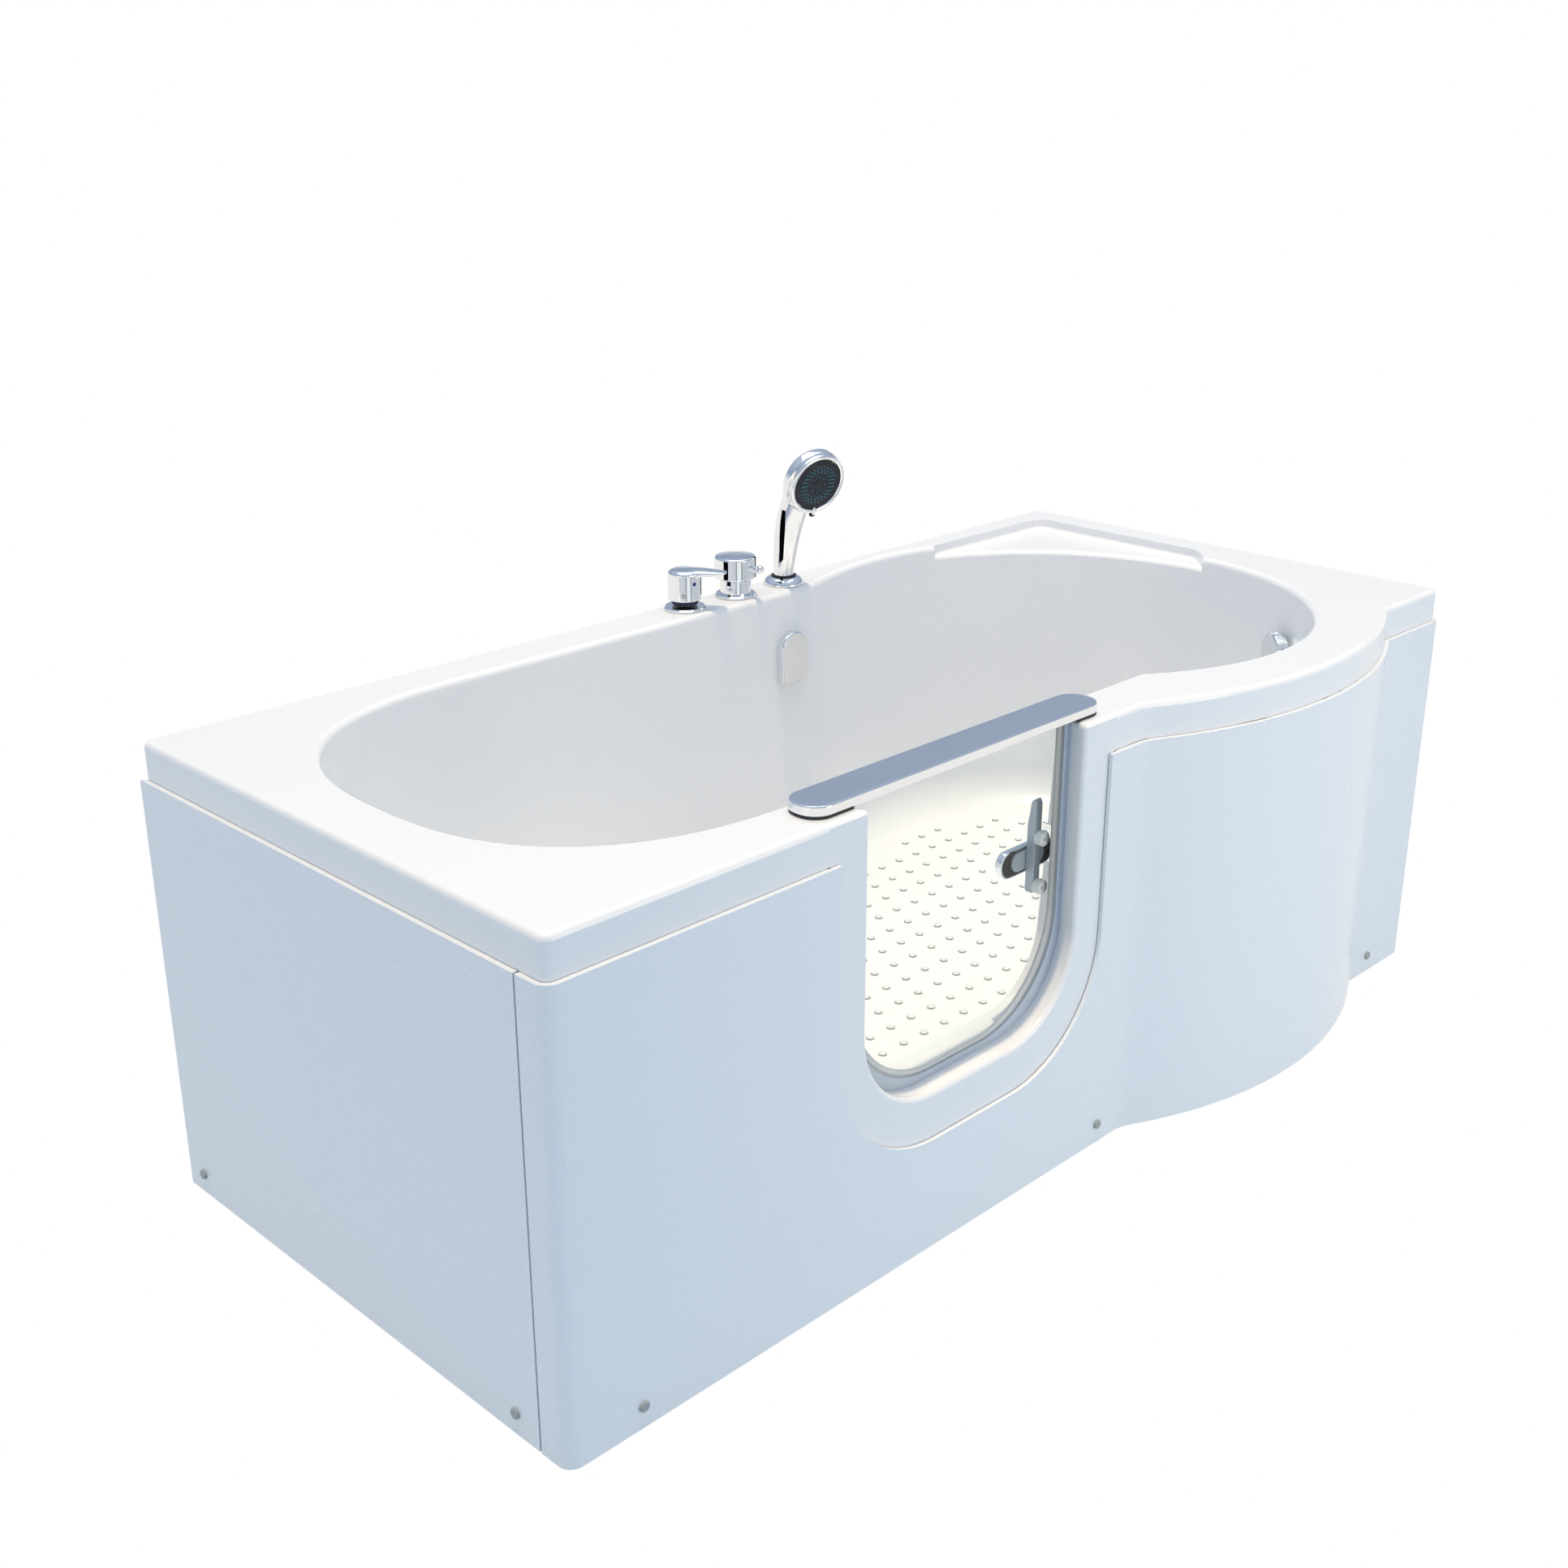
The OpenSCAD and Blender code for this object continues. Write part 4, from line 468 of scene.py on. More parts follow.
def polish(piece, angle=32):
    """Shades the piece smooth, with its flat faces kept flat."""
    smooth(piece, angle)
    apply(piece, "WEIGHTED_NORMAL", keep_sharp=True, weight=60)


def door_outline(width, z0, r, top, flare=0.0, n=16):
    """The doorway's shape, from the top left down and round to the top right: (x, z) points."""
    half = width / 2
    flared = quarter(flare, 0, 90, 5) if flare else []
    left = [(-half - flare, top)] + [(-half - out, RIM_Z - low) for out, low in flared]
    left += arc(-half + r, z0 + r, r, 180, 270, n)
    return [(DOOR_X + x, z) for x, z in left + [(-x, z) for x, z in reversed(left)]]


def door_solid(name, shapes):
    """A solid through doorway shapes, each with its depth first."""
    return from_rings(name, [[(x, y, z) for x, z in door_outline(*shape)] for y, *shape in shapes])


def flat_door(name, width, z0, r, top, y0, y1):
    return door_solid(name, [(y0, width, z0, r, top), (y1, width, z0, r, top)])


tub = from_rings("tub", [rim_ring(SKIRT_Z, 1.2), rim_ring(SKIRT_Z + 1.2, 0)]
                 + [rim_ring(RIM_Z - low, inset) for low, inset in quarter(EDGE_R, 0, 90, 7)])
cut(tub, from_rings("under_rim", [rim_ring(SKIRT_Z - 3, SHEET), rim_ring(RIM_Z - SHEET, SHEET)]))
join(tub, from_rings("bowl_skin", cove(FLOOR_Z - SHEET, SHEET, 8)
                     + [bowl_ring(z, 0, SHEET) for z in steps(280, UNDER_TOP, 4)]))
join(tub, flat_door("band", BAND_W + 24, BAND_Z - 12, BAND_R + 8, UNDER_TOP, 0, SHEET))
join(tub, flat_door("tunnel", DOOR_W + 2 * SHEET + 8, SILL_Z - SHEET - 2, DOOR_R + SHEET, UNDER_TOP,
                    0.5, LAND_Y))
join(tub, flat_door("rebate", REBATE_W + 2 * SHEET, REBATE_Z - SHEET, REBATE_R + SHEET, UNDER_TOP,
                    LAND_Y - SHEET - 3, REBATE_BACK))
SHELF = (arc(SHELF_LEFT + 9, SHELF_BACK - 9, 9, 170, 90, 4)
         + arc(SHELF_RIGHT - 24, SHELF_BACK - 24, 24, 90, 0, 8)
         + [(SHELF_RIGHT, 398), (1640, 384), (1612, 356), (1560, 340), (1400, 365), (1340, 600),
            (1351, 684)])[::-1]


def shelf_outline(d):
    return moved(SHELF, d)


join(tub, stack("shelf_under", shelf_outline, [(SHELF_Z - SHEET, 3), (RIM_Z - 4, SHEET)]))
cut(tub, from_rings("bowl", cove(FLOOR_Z, 0, 12) + [bowl_ring(z, 0, 0) for z in steps(250, WALL_TOP, 7)]
                    + [bowl_ring(WALL_TOP + LIP_R * sin_d(a), 0, LIP_R * (1 - cos_d(a)))
                       for a in steps(12, 90, 7)] + [bowl_ring(RIM_Z + 3, 0, LIP_R)]))
reveal = [(-4, DOOR_W + 2 * REVEAL_SOFT, SILL_Z - REVEAL_SOFT, DOOR_R + REVEAL_SOFT, OVER, REVEAL_FLARE)]
reveal += [(depth, DOOR_W + 2 * out, SILL_Z - out, DOOR_R + out, OVER, REVEAL_FLARE)
           for out, depth in quarter(REVEAL_SOFT, 0, 90, 5)]
reveal += [(depth, LAND_W, SILL_Z, DOOR_R + REVEAL_OUT, OVER, REVEAL_FLARE)
           for depth in (REVEAL_D, LAND_Y + 1)]
cut(tub, door_solid("reveal", reveal))
cut(tub, door_solid("rebate_cut", [(depth, REBATE_W, REBATE_Z, REBATE_R, OVER, REBATE_FLARE)
                                   for depth in (LAND_Y, REBATE_BACK + 32)]))
cut(tub, stack("shelf_cut", shelf_outline, [(SHELF_Z, -5)]
               + [(SHELF_Z + rise, -inset) for inset, rise in quarter(5, 20, 90, 4)]
               + [(RIM_Z - 2, 0), (RIM_Z - 0.6, 0.6), (RIM_Z, 2), (RIM_Z + 4, 2)]))
shelf_lip = from_rings("shelf_lip", [bowl_ring(SHELF_Z - low, 0, inset - 0.3)
                                     for low, inset in quarter(LIP_R, 0, 90, 6)]
                       + [bowl_ring(SHELF_Z + 3, 0, LIP_R)])
combine(shelf_lip, stack("shelf_zone", shelf_outline, [(SHELF_Z - 20, 0), (SHELF_Z + 8, 0)]), "INTERSECT")
cut(tub, shelf_lip)


def drill(piece, x, y, z0, z1, r):
    only(piece)
    bpy.ops.mesh.primitive_cylinder_add(vertices=48, radius=r / 1000, depth=(z1 - z0) / 1000)
    bit = bpy.context.object
    bit.data.transform(Matrix.Translation(TO_SCENE @ Vector((x, y, (z0 + z1) / 2))))
    cut(piece, bit)


for hole_x, hole_r in ((MIXER_X, TAP_HOLE_R), (DIVERTER_X, TAP_HOLE_R), (SHOWER_X, SHOWER_HOLE_R)):
    drill(tub, hole_x, TAP_Y, RIM_Z - 40, RIM_Z + 20, hole_r)
drill(tub, WASTE_X, WASTE_Y, FLOOR_Z - 30, FLOOR_Z + 20, WASTE_HOLE_R)
polish(tub)

# The anti-slip domes are pressed into the floor of the same sheet, in rows that are offset by
# half a pitch.
DOME_R, DOME_H, DOME_PITCH = 5.8, 2.4, 40.3
DOME_Y0, DOME_Y1, DOME_X0, DOME_X1 = 177, 625, 300, 1480
DOME_SIDE_IN, DOME_HEAD_IN, DOME_FOOT_IN = LIP_IN + DRAFT + COVE_R + 14, 270, 104
HEAD_ROWS_X, HEAD_ROWS_HALF, WASTE_CLEAR = HEAD_X - 60, 150, 50
DOME_RINGS = ((DOME_R, -0.4), (DOME_R, 0.5), (DOME_R * 0.93, DOME_H * 0.75), (DOME_R * 0.7, DOME_H))


def add_stud(points, faces, rings, tip=None):
    """Adds a small closed stud: its rings from the foot up, then its tip or a flat top."""
    n, base = len(rings[0]), len(points)
    top = base + n * (len(rings) - 1)
    for ring in rings:
        points += ring
    for low in range(base, top, n):
        for i in range(n):
            k = (i + 1) % n
            faces.append([low + i, low + k, low + n + k, low + n + i])
    if tip:
        points.append(tip)
        faces += [[top + i, top + (i + 1) % n, top + n] for i in range(n)]
    faces.append([base + i for i in range(n - 1, -1, -1)])
    if not tip:
        faces.append([top + i for i in range(n)])


def dome_fits(x, y):
    """Whether a dome here is on the flat floor and clear of the waste."""
    if x > FOOT_X:
        reach = foot_reach(math.atan2(y - FOOT_Y, x - FOOT_X), DOME_FOOT_IN)
        flat = math.hypot(x - FOOT_X, y - FOOT_Y) < reach
    else:
        front, back = [bowl_point(x, side, DOME_SIDE_IN, DOME_HEAD_IN)[1] for side in (0, RIM_W)]
        flat = front < y < back and (x > HEAD_ROWS_X or abs(y - HEAD_Y) < HEAD_ROWS_HALF)
    return flat and math.hypot(x - WASTE_X, y - WASTE_Y) > WASTE_CLEAR


dome_points, dome_faces = [], []
row = 0
y = DOME_Y0
while y < DOME_Y1:
    x = DOME_X0 + (DOME_PITCH / 2 if row % 2 else 0)
    while x < DOME_X1:
        if dome_fits(x, y):
            rings = [[(px, py, FLOOR_Z + h) for px, py in arc(x, y, r, 0, 330, 11)] for r, h in DOME_RINGS]
            add_stud(dome_points, dome_faces, rings, (x, y, FLOOR_Z + DOME_H + 0.15))
        x += DOME_PITCH
    y += DOME_PITCH
    row += 1
floor_domes = meshed("floor_domes", dome_points, dome_faces)
smooth(floor_domes, 60)


def finish(name, colour, fixed, surface):
    """A material. fixed holds the shader's plain values, and surface links what varies."""
    material = bpy.data.materials.new(name)
    material.use_nodes = True
    tree = material.node_tree
    principled = tree.nodes["Principled BSDF"]
    principled.inputs["Base Color"].default_value = (*colour, 1)
    for key, value in fixed.items():
        principled.inputs[key].default_value = value
    place = Wire(tree).node("ShaderNodeTexCoord", out="Object")
    for key, wire in surface(place).items():
        tree.links.new(wire.socket, principled.inputs[key])
    return material


def tones(colour, *shares):
    """A colour made darker or paler, once for each share."""
    return [[c * share for c in colour] for share in shares]


def speckled(low, high, noise, rough, bump=None):
    """A surface whose colour and roughness follow one noise, with or without a fine bump.

    noise is (scale, detail), rough is (share, base), and bump is (scale, detail, strength, distance).
    """
    def surface(place):
        tone = place.noise(*noise)
        looks = {"Base Color": tone.mix((*low, 1), (*high, 1)), "Roughness": tone * rough[0] + rough[1]}
        if bump:
            looks["Normal"] = place.noise(*bump[:2]).bump(*bump[2:])
        return looks

    return surface


def dress(piece, *materials):
    piece.data.materials.clear()
    for material in materials:
        piece.data.materials.append(material)


def mount(piece, material, body, slot, *nodes, second=()):
    """Dresses a piece and fixes it to its body, in place of the CAD nodes that are named."""
    dress(piece, material, *second)
    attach(piece, body)
    if nodes:
        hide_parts(*nodes)


ACRYLIC_WHITE = (0.86, 0.87, 0.885)


def dome_painted_shade_surface(place):
    """The same white, with painted shade: dark grey at each dome's foot, fading to white up its side, for the
    shade on the domes' steep near sides.
    """
    height = place.node("ShaderNodeSeparateXYZ", None, {"Vector": place}, out=2)
    shade = (height - FLOOR_Z / 1000) * (1000 / DOME_H)
    low, high = tones(ACRYLIC_WHITE, 0.22, 0.97)
    return {"Base Color": (shade * 1.1 - 0.25).mix((*low, 1), (*high, 1)), "Roughness": shade * 0.05 + 0.3}


acrylic = finish("white_acrylic", ACRYLIC_WHITE, {"Coat Weight": 0.3, "Coat Roughness": 0.08, "IOR": 1.49},
                 speckled(*tones(ACRYLIC_WHITE, 0.965, 1.02), (420.0, 1.0), (0.05, 0.19),
                          (1400.0, 2.0, 0.05, 0.0004)))
mount(tub, acrylic, "tub", "acrylic", "tub_shell")
# The domes' material paints dark grey shade round each dome's foot.
mount(floor_domes, finish("dome_acrylic_painted_shade", ACRYLIC_WHITE, {}, dome_painted_shade_surface), "tub", "acrylic")

# ------------------------ panels
# The front panel and the end panel are pressed from a thinner white sheet. The front one
# follows the bow, turns round both corners and is cut out round the doorway. Each has a lip
# that hooks under the skirt, and rounded edges that catch the light.
PANEL_OUT, PANEL_IN = 6, 1
PANEL_RETURN, END_FRONT = 39, 42
LIP_T, LIP_D = 3, 20
LIP_CUT_HALF = (REBATE_W + 40) / 2
PANEL_WHITE = (0.83, 0.855, 0.89)


def slab(name, low, high, tilt=Matrix()):
    """A flat sheet between two corners."""
    bpy.ops.object.select_all(action="DESELECT")
    bpy.ops.mesh.primitive_cube_add(size=1)
    sheet = bpy.context.object
    sheet.name = name
    size = [b - a for a, b in zip(low, high)]
    middle = [(a + b) / 2 for a, b in zip(low, high)]
    sheet.data.transform(TO_SCENE @ tilt @ Matrix.Translation(middle) @ Matrix.Diagonal((*size, 1)))
    return sheet


def strip(name, line, d0, d1, z0, z1):
    """An upright strip along a line, between two distances from it."""
    outline = moved(line, d0, False) + moved(line, d1, False)[::-1]
    return from_rings(name, [[(x, y, z) for x, y in outline] for z in (z0, z1)])


bow_run = (steps(40, BOW_START - 30, 4) + steps(BOW_START - 26, BOW_START + 34, 18)
           + steps(BOW_START + 42, BOW_STOP - 20, 64) + steps(BOW_STOP - 17, BOW_STOP + 16, 14)
           + steps(1570, RIM_L - 40, 2))
panel_line = ([(0, PANEL_RETURN)] + arc(CORNER_R, CORNER_R, CORNER_R, 180, 270, 10) + front_points(bow_run)
              + arc(RIM_L - CORNER_R, CORNER_R, CORNER_R, 270, 360, 10) + [(RIM_L, PANEL_RETURN)])
front_skin = strip("front_skin", panel_line, PANEL_OUT, PANEL_IN, 0, SKIRT_Z)
for lip_line, lip_d in ((front_points(bow_run), LIP_D), (panel_line, 8)):
    join(front_skin, strip("front_lip", lip_line, PANEL_IN + 0.5, PANEL_IN - lip_d, SKIRT_Z - LIP_T, SKIRT_Z))
cut(front_skin, flat_door("panel_cut", BAND_W, BAND_Z, BAND_R, OVER, -20, -0.5))
cut(front_skin, slab("lip_cut", (DOOR_X - LIP_CUT_HALF, -0.75, SKIRT_Z - 6),
                     (DOOR_X + LIP_CUT_HALF, 68.75, SKIRT_Z + 2)))
end_skin = slab("end_skin", (-PANEL_OUT, END_FRONT, 0), (-PANEL_IN, RIM_W, SKIRT_Z))
join(end_skin, slab("end_lip", (-PANEL_IN - 0.5, END_FRONT, SKIRT_Z - LIP_T),
                    (-PANEL_IN + LIP_D, RIM_W - SHEET, SKIRT_Z)))
panel_white = finish("panel_white", PANEL_WHITE, {"Coat Weight": 0.2, "Coat Roughness": 0.12},
                     speckled(*tones(PANEL_WHITE, 0.965, 1.02), (420.0, 1.0), (0.05, 0.24),
                              (1100.0, 2.0, 0.06, 0.0004)))
for piece, node in ((front_skin, "front_panel"), (end_skin, "end_panel")):
    soften(piece, 1.4, 50)
    polish(piece)
    mount(piece, panel_white, "tub", "panel", node)

# A near-black strip lies behind the joint between the two panels: painted shade, so that the gap reads dark.
black_rubber = finish("black_rubber", (0.018, 0.019, 0.02), {}, speckled(
    (0.012, 0.013, 0.014), (0.026, 0.027, 0.029), (220.0, 3.0), (0.2, 0.55), (220.0, 3.0, 0.12, 0.0004)))
# This strip is painted shade: a near-black sheet in the gap between the panels.
joint_painted_shade_strip = slab("joint_painted_shade_strip", (-3.2, 35, 0.5), (-1, 46, SKIRT_Z - LIP_T - 0.3))
mount(joint_painted_shade_strip, black_rubber, "tub", "black_rubber")

# ------------------------ steel frame and feet
# The bath stands on a welded frame of square steel tube, painted dark grey. The feet screw
# into it and the panels' brackets stand on the floor. A raw board is bonded under the bath.


def cad_finish(material, *nodes):
    """Gives CAD nodes a material in place of their own."""
    for node in nodes:
        dress(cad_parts[node], material)


def zinc_surface(place):
    spangle = place.node("ShaderNodeTexVoronoi", None, {"Vector": place, "Scale": 260.0})
    return {"Base Color": spangle.mix((0.44, 0.46, 0.48, 1), (0.62, 0.64, 0.66, 1)),
            "Roughness": place.noise(40.0, 3.0) * 0.25 + 0.25}


def board_surface(place):
    chips = place.node("ShaderNodeTexVoronoi", None, {"Vector": place, "Scale": 160.0})
    tone = place.noise(60.0, 4.0)
    return {"Base Color": (chips * 0.6 + tone * 0.5).mix((0.40, 0.29, 0.17, 1), (0.62, 0.50, 0.33, 1)),
            "Roughness": tone * 0.2 + 0.65, "Normal": chips.bump(0.3, 0.0006)}


frame_paint = finish("frame_paint", (0.04, 0.043, 0.046), {}, speckled(
    (0.030, 0.033, 0.036), (0.052, 0.056, 0.060), (14.0, 4.0), (0.2, 0.38), (900.0, 3.0, 0.15, 0.0003)))
cad_finish(frame_paint, "frame_rails", "frame_crossbars", "frame_posts")
cad_finish(finish("zinc_plate", (0.55, 0.57, 0.59), {"Metallic": 1.0}, zinc_surface),
           "foot_stems", "foot_nuts", "panel_brackets", "hinge_pins", "hinge_screws", "mixer_pivot",
           "mixer_grub_screw", "diverter_spindle", "latch_spindle")
cad_finish(finish("raw_board", (0.5, 0.4, 0.25), {}, board_surface), "base_board")
cad_finish(black_rubber, "foot_pads", "waste_gasket", "holder_gasket")

# The panels' screws are hidden under grey plastic caps with a shallow dish.
CAP_GREY = (0.33, 0.36, 0.37)
cad_finish(finish("cap_grey", CAP_GREY, {}, speckled(
    *tones(CAP_GREY, 0.9, 1.1), (300.0, 2.0), (0.1, 0.38))), "panel_screws")

# ------------------------ waste and overflow
# Under the floor are moulded white plastic fittings, with a chromed flange and plug above, and
# a chromed knob on the wall that works the plug.
WASTE_WHITE = (0.66, 0.665, 0.65)
waste_white = finish("waste_white", WASTE_WHITE, {}, speckled(
    *tones(WASTE_WHITE, 0.93, 1.0), (25.0, 3.0), (0.15, 0.42)))
chrome = finish("bright_chrome", (0.84, 0.86, 0.88), {"Metallic": 1.0}, speckled(
    (0.80, 0.825, 0.86), (0.86, 0.88, 0.90), (30.0, 3.0), (0.05, 0.03)))
cad_finish(waste_white, "waste_body", "waste_trap", "overflow_body", "overflow_pipe", "hose_guide")
cad_finish(chrome, "waste_flange", "overflow_rose", "mixer_ring", "diverter_ring", "diverter_neck",
           "hinge_brackets", "hinge_leaves", "latch_keeper")


def turned(name, profile, at, tilt=Matrix(), sides=64):
    """A piece turned round its own Z axis: a profile of (radius, height), put at a place."""
    mesh = bpy.data.meshes.new(name)
    mesh.from_pydata([(r, 0, h) for r, h in profile], [(i, i + 1) for i in range(len(profile) - 1)], [])
    piece = placed(name, mesh)
    only(piece)
    bpy.ops.object.mode_set(mode="EDIT")
    bpy.ops.mesh.select_all(action="SELECT")
    bpy.ops.mesh.spin(steps=sides, angle=2 * math.pi, center=(0, 0, 0), axis=(0, 0, 1))
    bpy.ops.mesh.select_all(action="SELECT")
    bpy.ops.mesh.remove_doubles(threshold=1e-4)
    bpy.ops.object.mode_set(mode="OBJECT")
    piece.data.transform(TO_SCENE @ Matrix.Translation(at) @ tilt)
    face_outwards(piece)
    return piece


def rounded(points, r, n=4):
    """A profile with each inner corner replaced by a small arc of points."""
    out = [points[0]]
    for before, here, after in zip(points, points[1:], points[2:]):
        a, b, c = Vector(before), Vector(here), Vector(after)
        reach = min(r, (a - b).length * 0.45, (c - b).length * 0.45)
        if reach < 1e-6:
            out.append(here)
            continue
        start, stop = b + (a - b).normalized() * reach, b + (c - b).normalized() * reach
        for t in steps(0, 1, n):
            out.append(tuple((1 - t) ** 2 * start + 2 * t * (1 - t) * b + t * t * stop))
    return out + [points[-1]]


plug_top = turned("plug_dome", rounded([(0, -55), (4, -55), (4, -7), (20, -5), (20, 3), (29.5, 3),
                                        (29.5, 4.6), (13, 8.2), (0, 8.8)], 1.2), (WASTE_X, WASTE_Y, FLOOR_Z))
polish(plug_top)
mount(plug_top, chrome, "plug", "bright_metal", "waste_plug")

OVERFLOW_Z, OVERFLOW_TURN = 500, -36.8
OVERFLOW_IN = LIP_IN + DRAFT * (WALL_TOP - OVERFLOW_Z) / (RIM_Z - FLOOR_Z)
overflow_reach = foot_reach(math.radians(OVERFLOW_TURN), OVERFLOW_IN)
overflow_at = (FOOT_X + overflow_reach * cos_d(OVERFLOW_TURN),
               FOOT_Y + overflow_reach * sin_d(OVERFLOW_TURN), OVERFLOW_Z)
overflow_tilt = turn(OVERFLOW_TURN, "Z") @ turn(-90, "Y")
knob = turned("overflow_dial", rounded([(0, -18), (5, -18), (5, 14), (18, 14), (32, 8), (34, 9), (34, 20),
                                        (31, 23), (12, 25), (0, 25)], 1.5), overflow_at, overflow_tilt)
NOTCH_R, NOTCH_L, NOTCH_AT = 7, 30, (37, 0, 27.5)
for a in range(0, 360, 60):
    only(knob)
    bpy.ops.mesh.primitive_cylinder_add(vertices=40, radius=NOTCH_R, depth=NOTCH_L)
    notch = bpy.context.object
    notch.data.transform(TO_SCENE @ Matrix.Translation(overflow_at) @ overflow_tilt
                         @ turn(a, "Z") @ Matrix.Translation(NOTCH_AT))
    cut(knob, notch)
soften(knob, 0.8, 40)
polish(knob)
mount(knob, chrome, "knob", "bright_metal", "overflow_knob")
cut(tub, turned("overflow_bore", [(0, -30), (20, -30), (20, 30), (0, 30)], overflow_at, overflow_tilt))
polish(tub)

# ------------------------ taps on the back ledge
# The mixer and the diverter are cast brass with bright chrome plate. Under the ledge their
# valves stay raw, and short pipes join them to the filler plate on the wall.
MIXER_AT = (MIXER_X, TAP_Y, 615)
DIVERTER_AT = (DIVERTER_X, TAP_Y, 627.5)
SHOWER_AT = (SHOWER_X, TAP_Y, RIM_Z)


def brass_surface(place):
    cast = place.noise(180.0, 4.0)
    return {"Base Color": place.noise(12.0, 3.0).mix((0.50, 0.36, 0.15, 1), (0.66, 0.50, 0.24, 1)),
            "Roughness": cast * 0.2 + 0.28, "Normal": cast.bump(0.1, 0.0004)}


cad_finish(finish("raw_brass", (0.6, 0.45, 0.2), {"Metallic": 1.0}, brass_surface),
           "mixer_valve", "diverter_valve", "link_pipes", "filler_tail")
cad_finish(finish("dark_ball", (0.05, 0.06, 0.08), {"Metallic": 0.9}, speckled(
    (0.035, 0.045, 0.06), (0.06, 0.075, 0.10), (90.0, 2.0), (0.06, 0.08))), "mixer_ball")
cad_finish(finish("dot_enamel", (0.02, 0.012, 0.2), {}, speckled(
    (0.020, 0.010, 0.16), (0.03, 0.02, 0.24), (800.0, 2.0), (0.1, 0.2))), "mixer_dot")

# The mixer's handle is one casting: a domed cap over the ball, drawn out into a flat lever.
MIXER_TURN = turn(-45, "Z")
LEVER_RINGS = ((-12, 9, 33, 43.0), (-4, 16, 31.5, 44.6), (8, 18.5, 31.0, 45.2), (20, 17.5, 31.8, 45.0),
               (30, 15.5, 33.2, 44.2), (40, 13.5, 34.6, 43.0), (48, 12, 35.6, 41.8),
               (55, 10, 36.2, 40.8), (59.5, 7.2, 36.8, 39.9), (61, 4, 37.4, 39.2))


def squared(v):
    """A sine or a cosine, moved outwards so that a round section turns squarer."""
    return math.copysign(abs(v) ** 0.8, v)


mixer_cap = turned("mixer_cap", rounded([(0, 5), (21.6, 5), (21.6, 0), (24.5, 0), (24.5, 40.5), (19, 44),
                                         (0, 45.5)], 5, 6), MIXER_AT)
lever_turn = Matrix.Translation(MIXER_AT) @ MIXER_TURN
join(mixer_cap, from_rings("mixer_lever_blade", [
    [tuple(lever_turn @ Vector((x, half * squared(cos_d(a)),
                                (low + high) / 2 + (high - low) / 2 * squared(sin_d(a)))))
     for a in range(0, 360, 10)] for x, half, low, high in LEVER_RINGS]))
apply(mixer_cap, "REMESH", mode="VOXEL", voxel_size=0.0007)
apply(mixer_cap, "SMOOTH", factor=0.5, iterations=8)
cut(mixer_cap, turned("grub_hole", [(0, 0), (3.6, 0), (3.6, 6), (0, 6)], MIXER_AT,
                      MIXER_TURN @ Matrix.Translation((0, -21.5, 10)) @ turn(90, "X"), 32))
smooth(mixer_cap, 50)
mount(mixer_cap, chrome, "mixer_lever", "bright_metal", "mixer_handle")

# The diverter's cap is a wide drum with a pin lever that ends in a ball.
diverter_drum = turned("diverter_drum", rounded([(0, 0), (28.6, 0), (28.6, -0.0), (31, 2), (31, 31),
                                                 (29, 33.2), (16, 34.6), (0, 35)], 1.0), DIVERTER_AT)
pin_tilt = Matrix.Translation((0, 0, 17)) @ turn(-76, "Z") @ turn(90, "Y")
pin_lever = turned("diverter_pin_lever", [(0, 25), (4.5, 25), (4.5, 38.5)] + arc(0, 43, 6.0, -42, 90, 10),
                   DIVERTER_AT, pin_tilt, 40)
for piece, node in ((diverter_drum, "diverter_cap"), (pin_lever, "diverter_pin")):
    polish(piece)
    mount(piece, chrome, "diverter", "bright_metal", node)

# The filler plate is a pressed hood with a round top and thick, soft edges. It stands off the
# wall, so that the water runs down behind it.
FILLER_X, FILLER_W, FILLER_H, FILLER_Z = 1000, 54, 76, 502
filler_y = RIM_W - LEDGE_BACK - LIP_IN - DRAFT * (WALL_TOP - FILLER_Z) / (RIM_Z - FLOOR_Z)
wall_slope = math.atan(DRAFT / (RIM_Z - FLOOR_Z))
filler_tilt = (Matrix.Translation((FILLER_X, filler_y, FILLER_Z))
               @ Matrix.Rotation(math.pi / 2 - wall_slope, 4, "X"))


def arch(inset, bottom):
    half, foot = FILLER_W / 2 - inset, -FILLER_H / 2 + bottom
    return [(half, foot)] + arc(0, FILLER_H / 2 - FILLER_W / 2, half, 0, 180, 24) + [(-half, foot)]


def hood(name, layers):
    return from_rings(name, [[tuple(filler_tilt @ Vector((x, y, z))) for x, y in arch(inset, bottom)]
                             for z, inset, bottom in layers])


filler_hood = hood("filler_hood", [(0, 0, 0), (10.5, 0, 0), (12.6, 0.9, 0.2), (13.6, 2.2, 0.6),
                                   (14, 4.2, 1.6)])
cut(filler_hood, hood("hood_hollow", [(-1, 3, -2), (10.5, 3, -2), (11, 3.5, -2)]))
polish(filler_hood, 40)
satin_chrome = finish("satin_chrome", (0.84, 0.82, 0.78), {"Metallic": 0.35}, speckled(
    (0.80, 0.785, 0.75), (0.86, 0.845, 0.81), (60.0, 3.0), (0.04, 0.42)))
mount(filler_hood, chrome, "tub", "bright_metal", "filler_plate", second=[satin_chrome])
plate_face = filler_tilt.to_3x3() @ Vector((0, 0, 1))
for face in filler_hood.data.polygons:
    face.material_index = 1 if face.normal.dot(plate_face) > 0.9 else 0
cut(tub, turned("filler_bore", [(0, -40), (12, -40), (12, 20), (0, 20)], (0, 0, 0), filler_tilt, 48))
polish(tub)

# ------------------------ hand shower
# The hand shower is chromed plastic. Its handle leans out of a domed holder on the ledge and
# widens into a round head with a dark spray face, and a black tab below turns the face.
holder = turned("holder_dome", rounded([(17.4, 0), (31, 0), (30.4, 4.0), (26.5, 9.0), (21.5, 11.6),
                                        (17.4, 12)], 2.4, 5) + [(17.4, 0)], SHOWER_AT)
polish(holder, 50)
mount(holder, chrome, "tub", "bright_metal", "shower_holder")

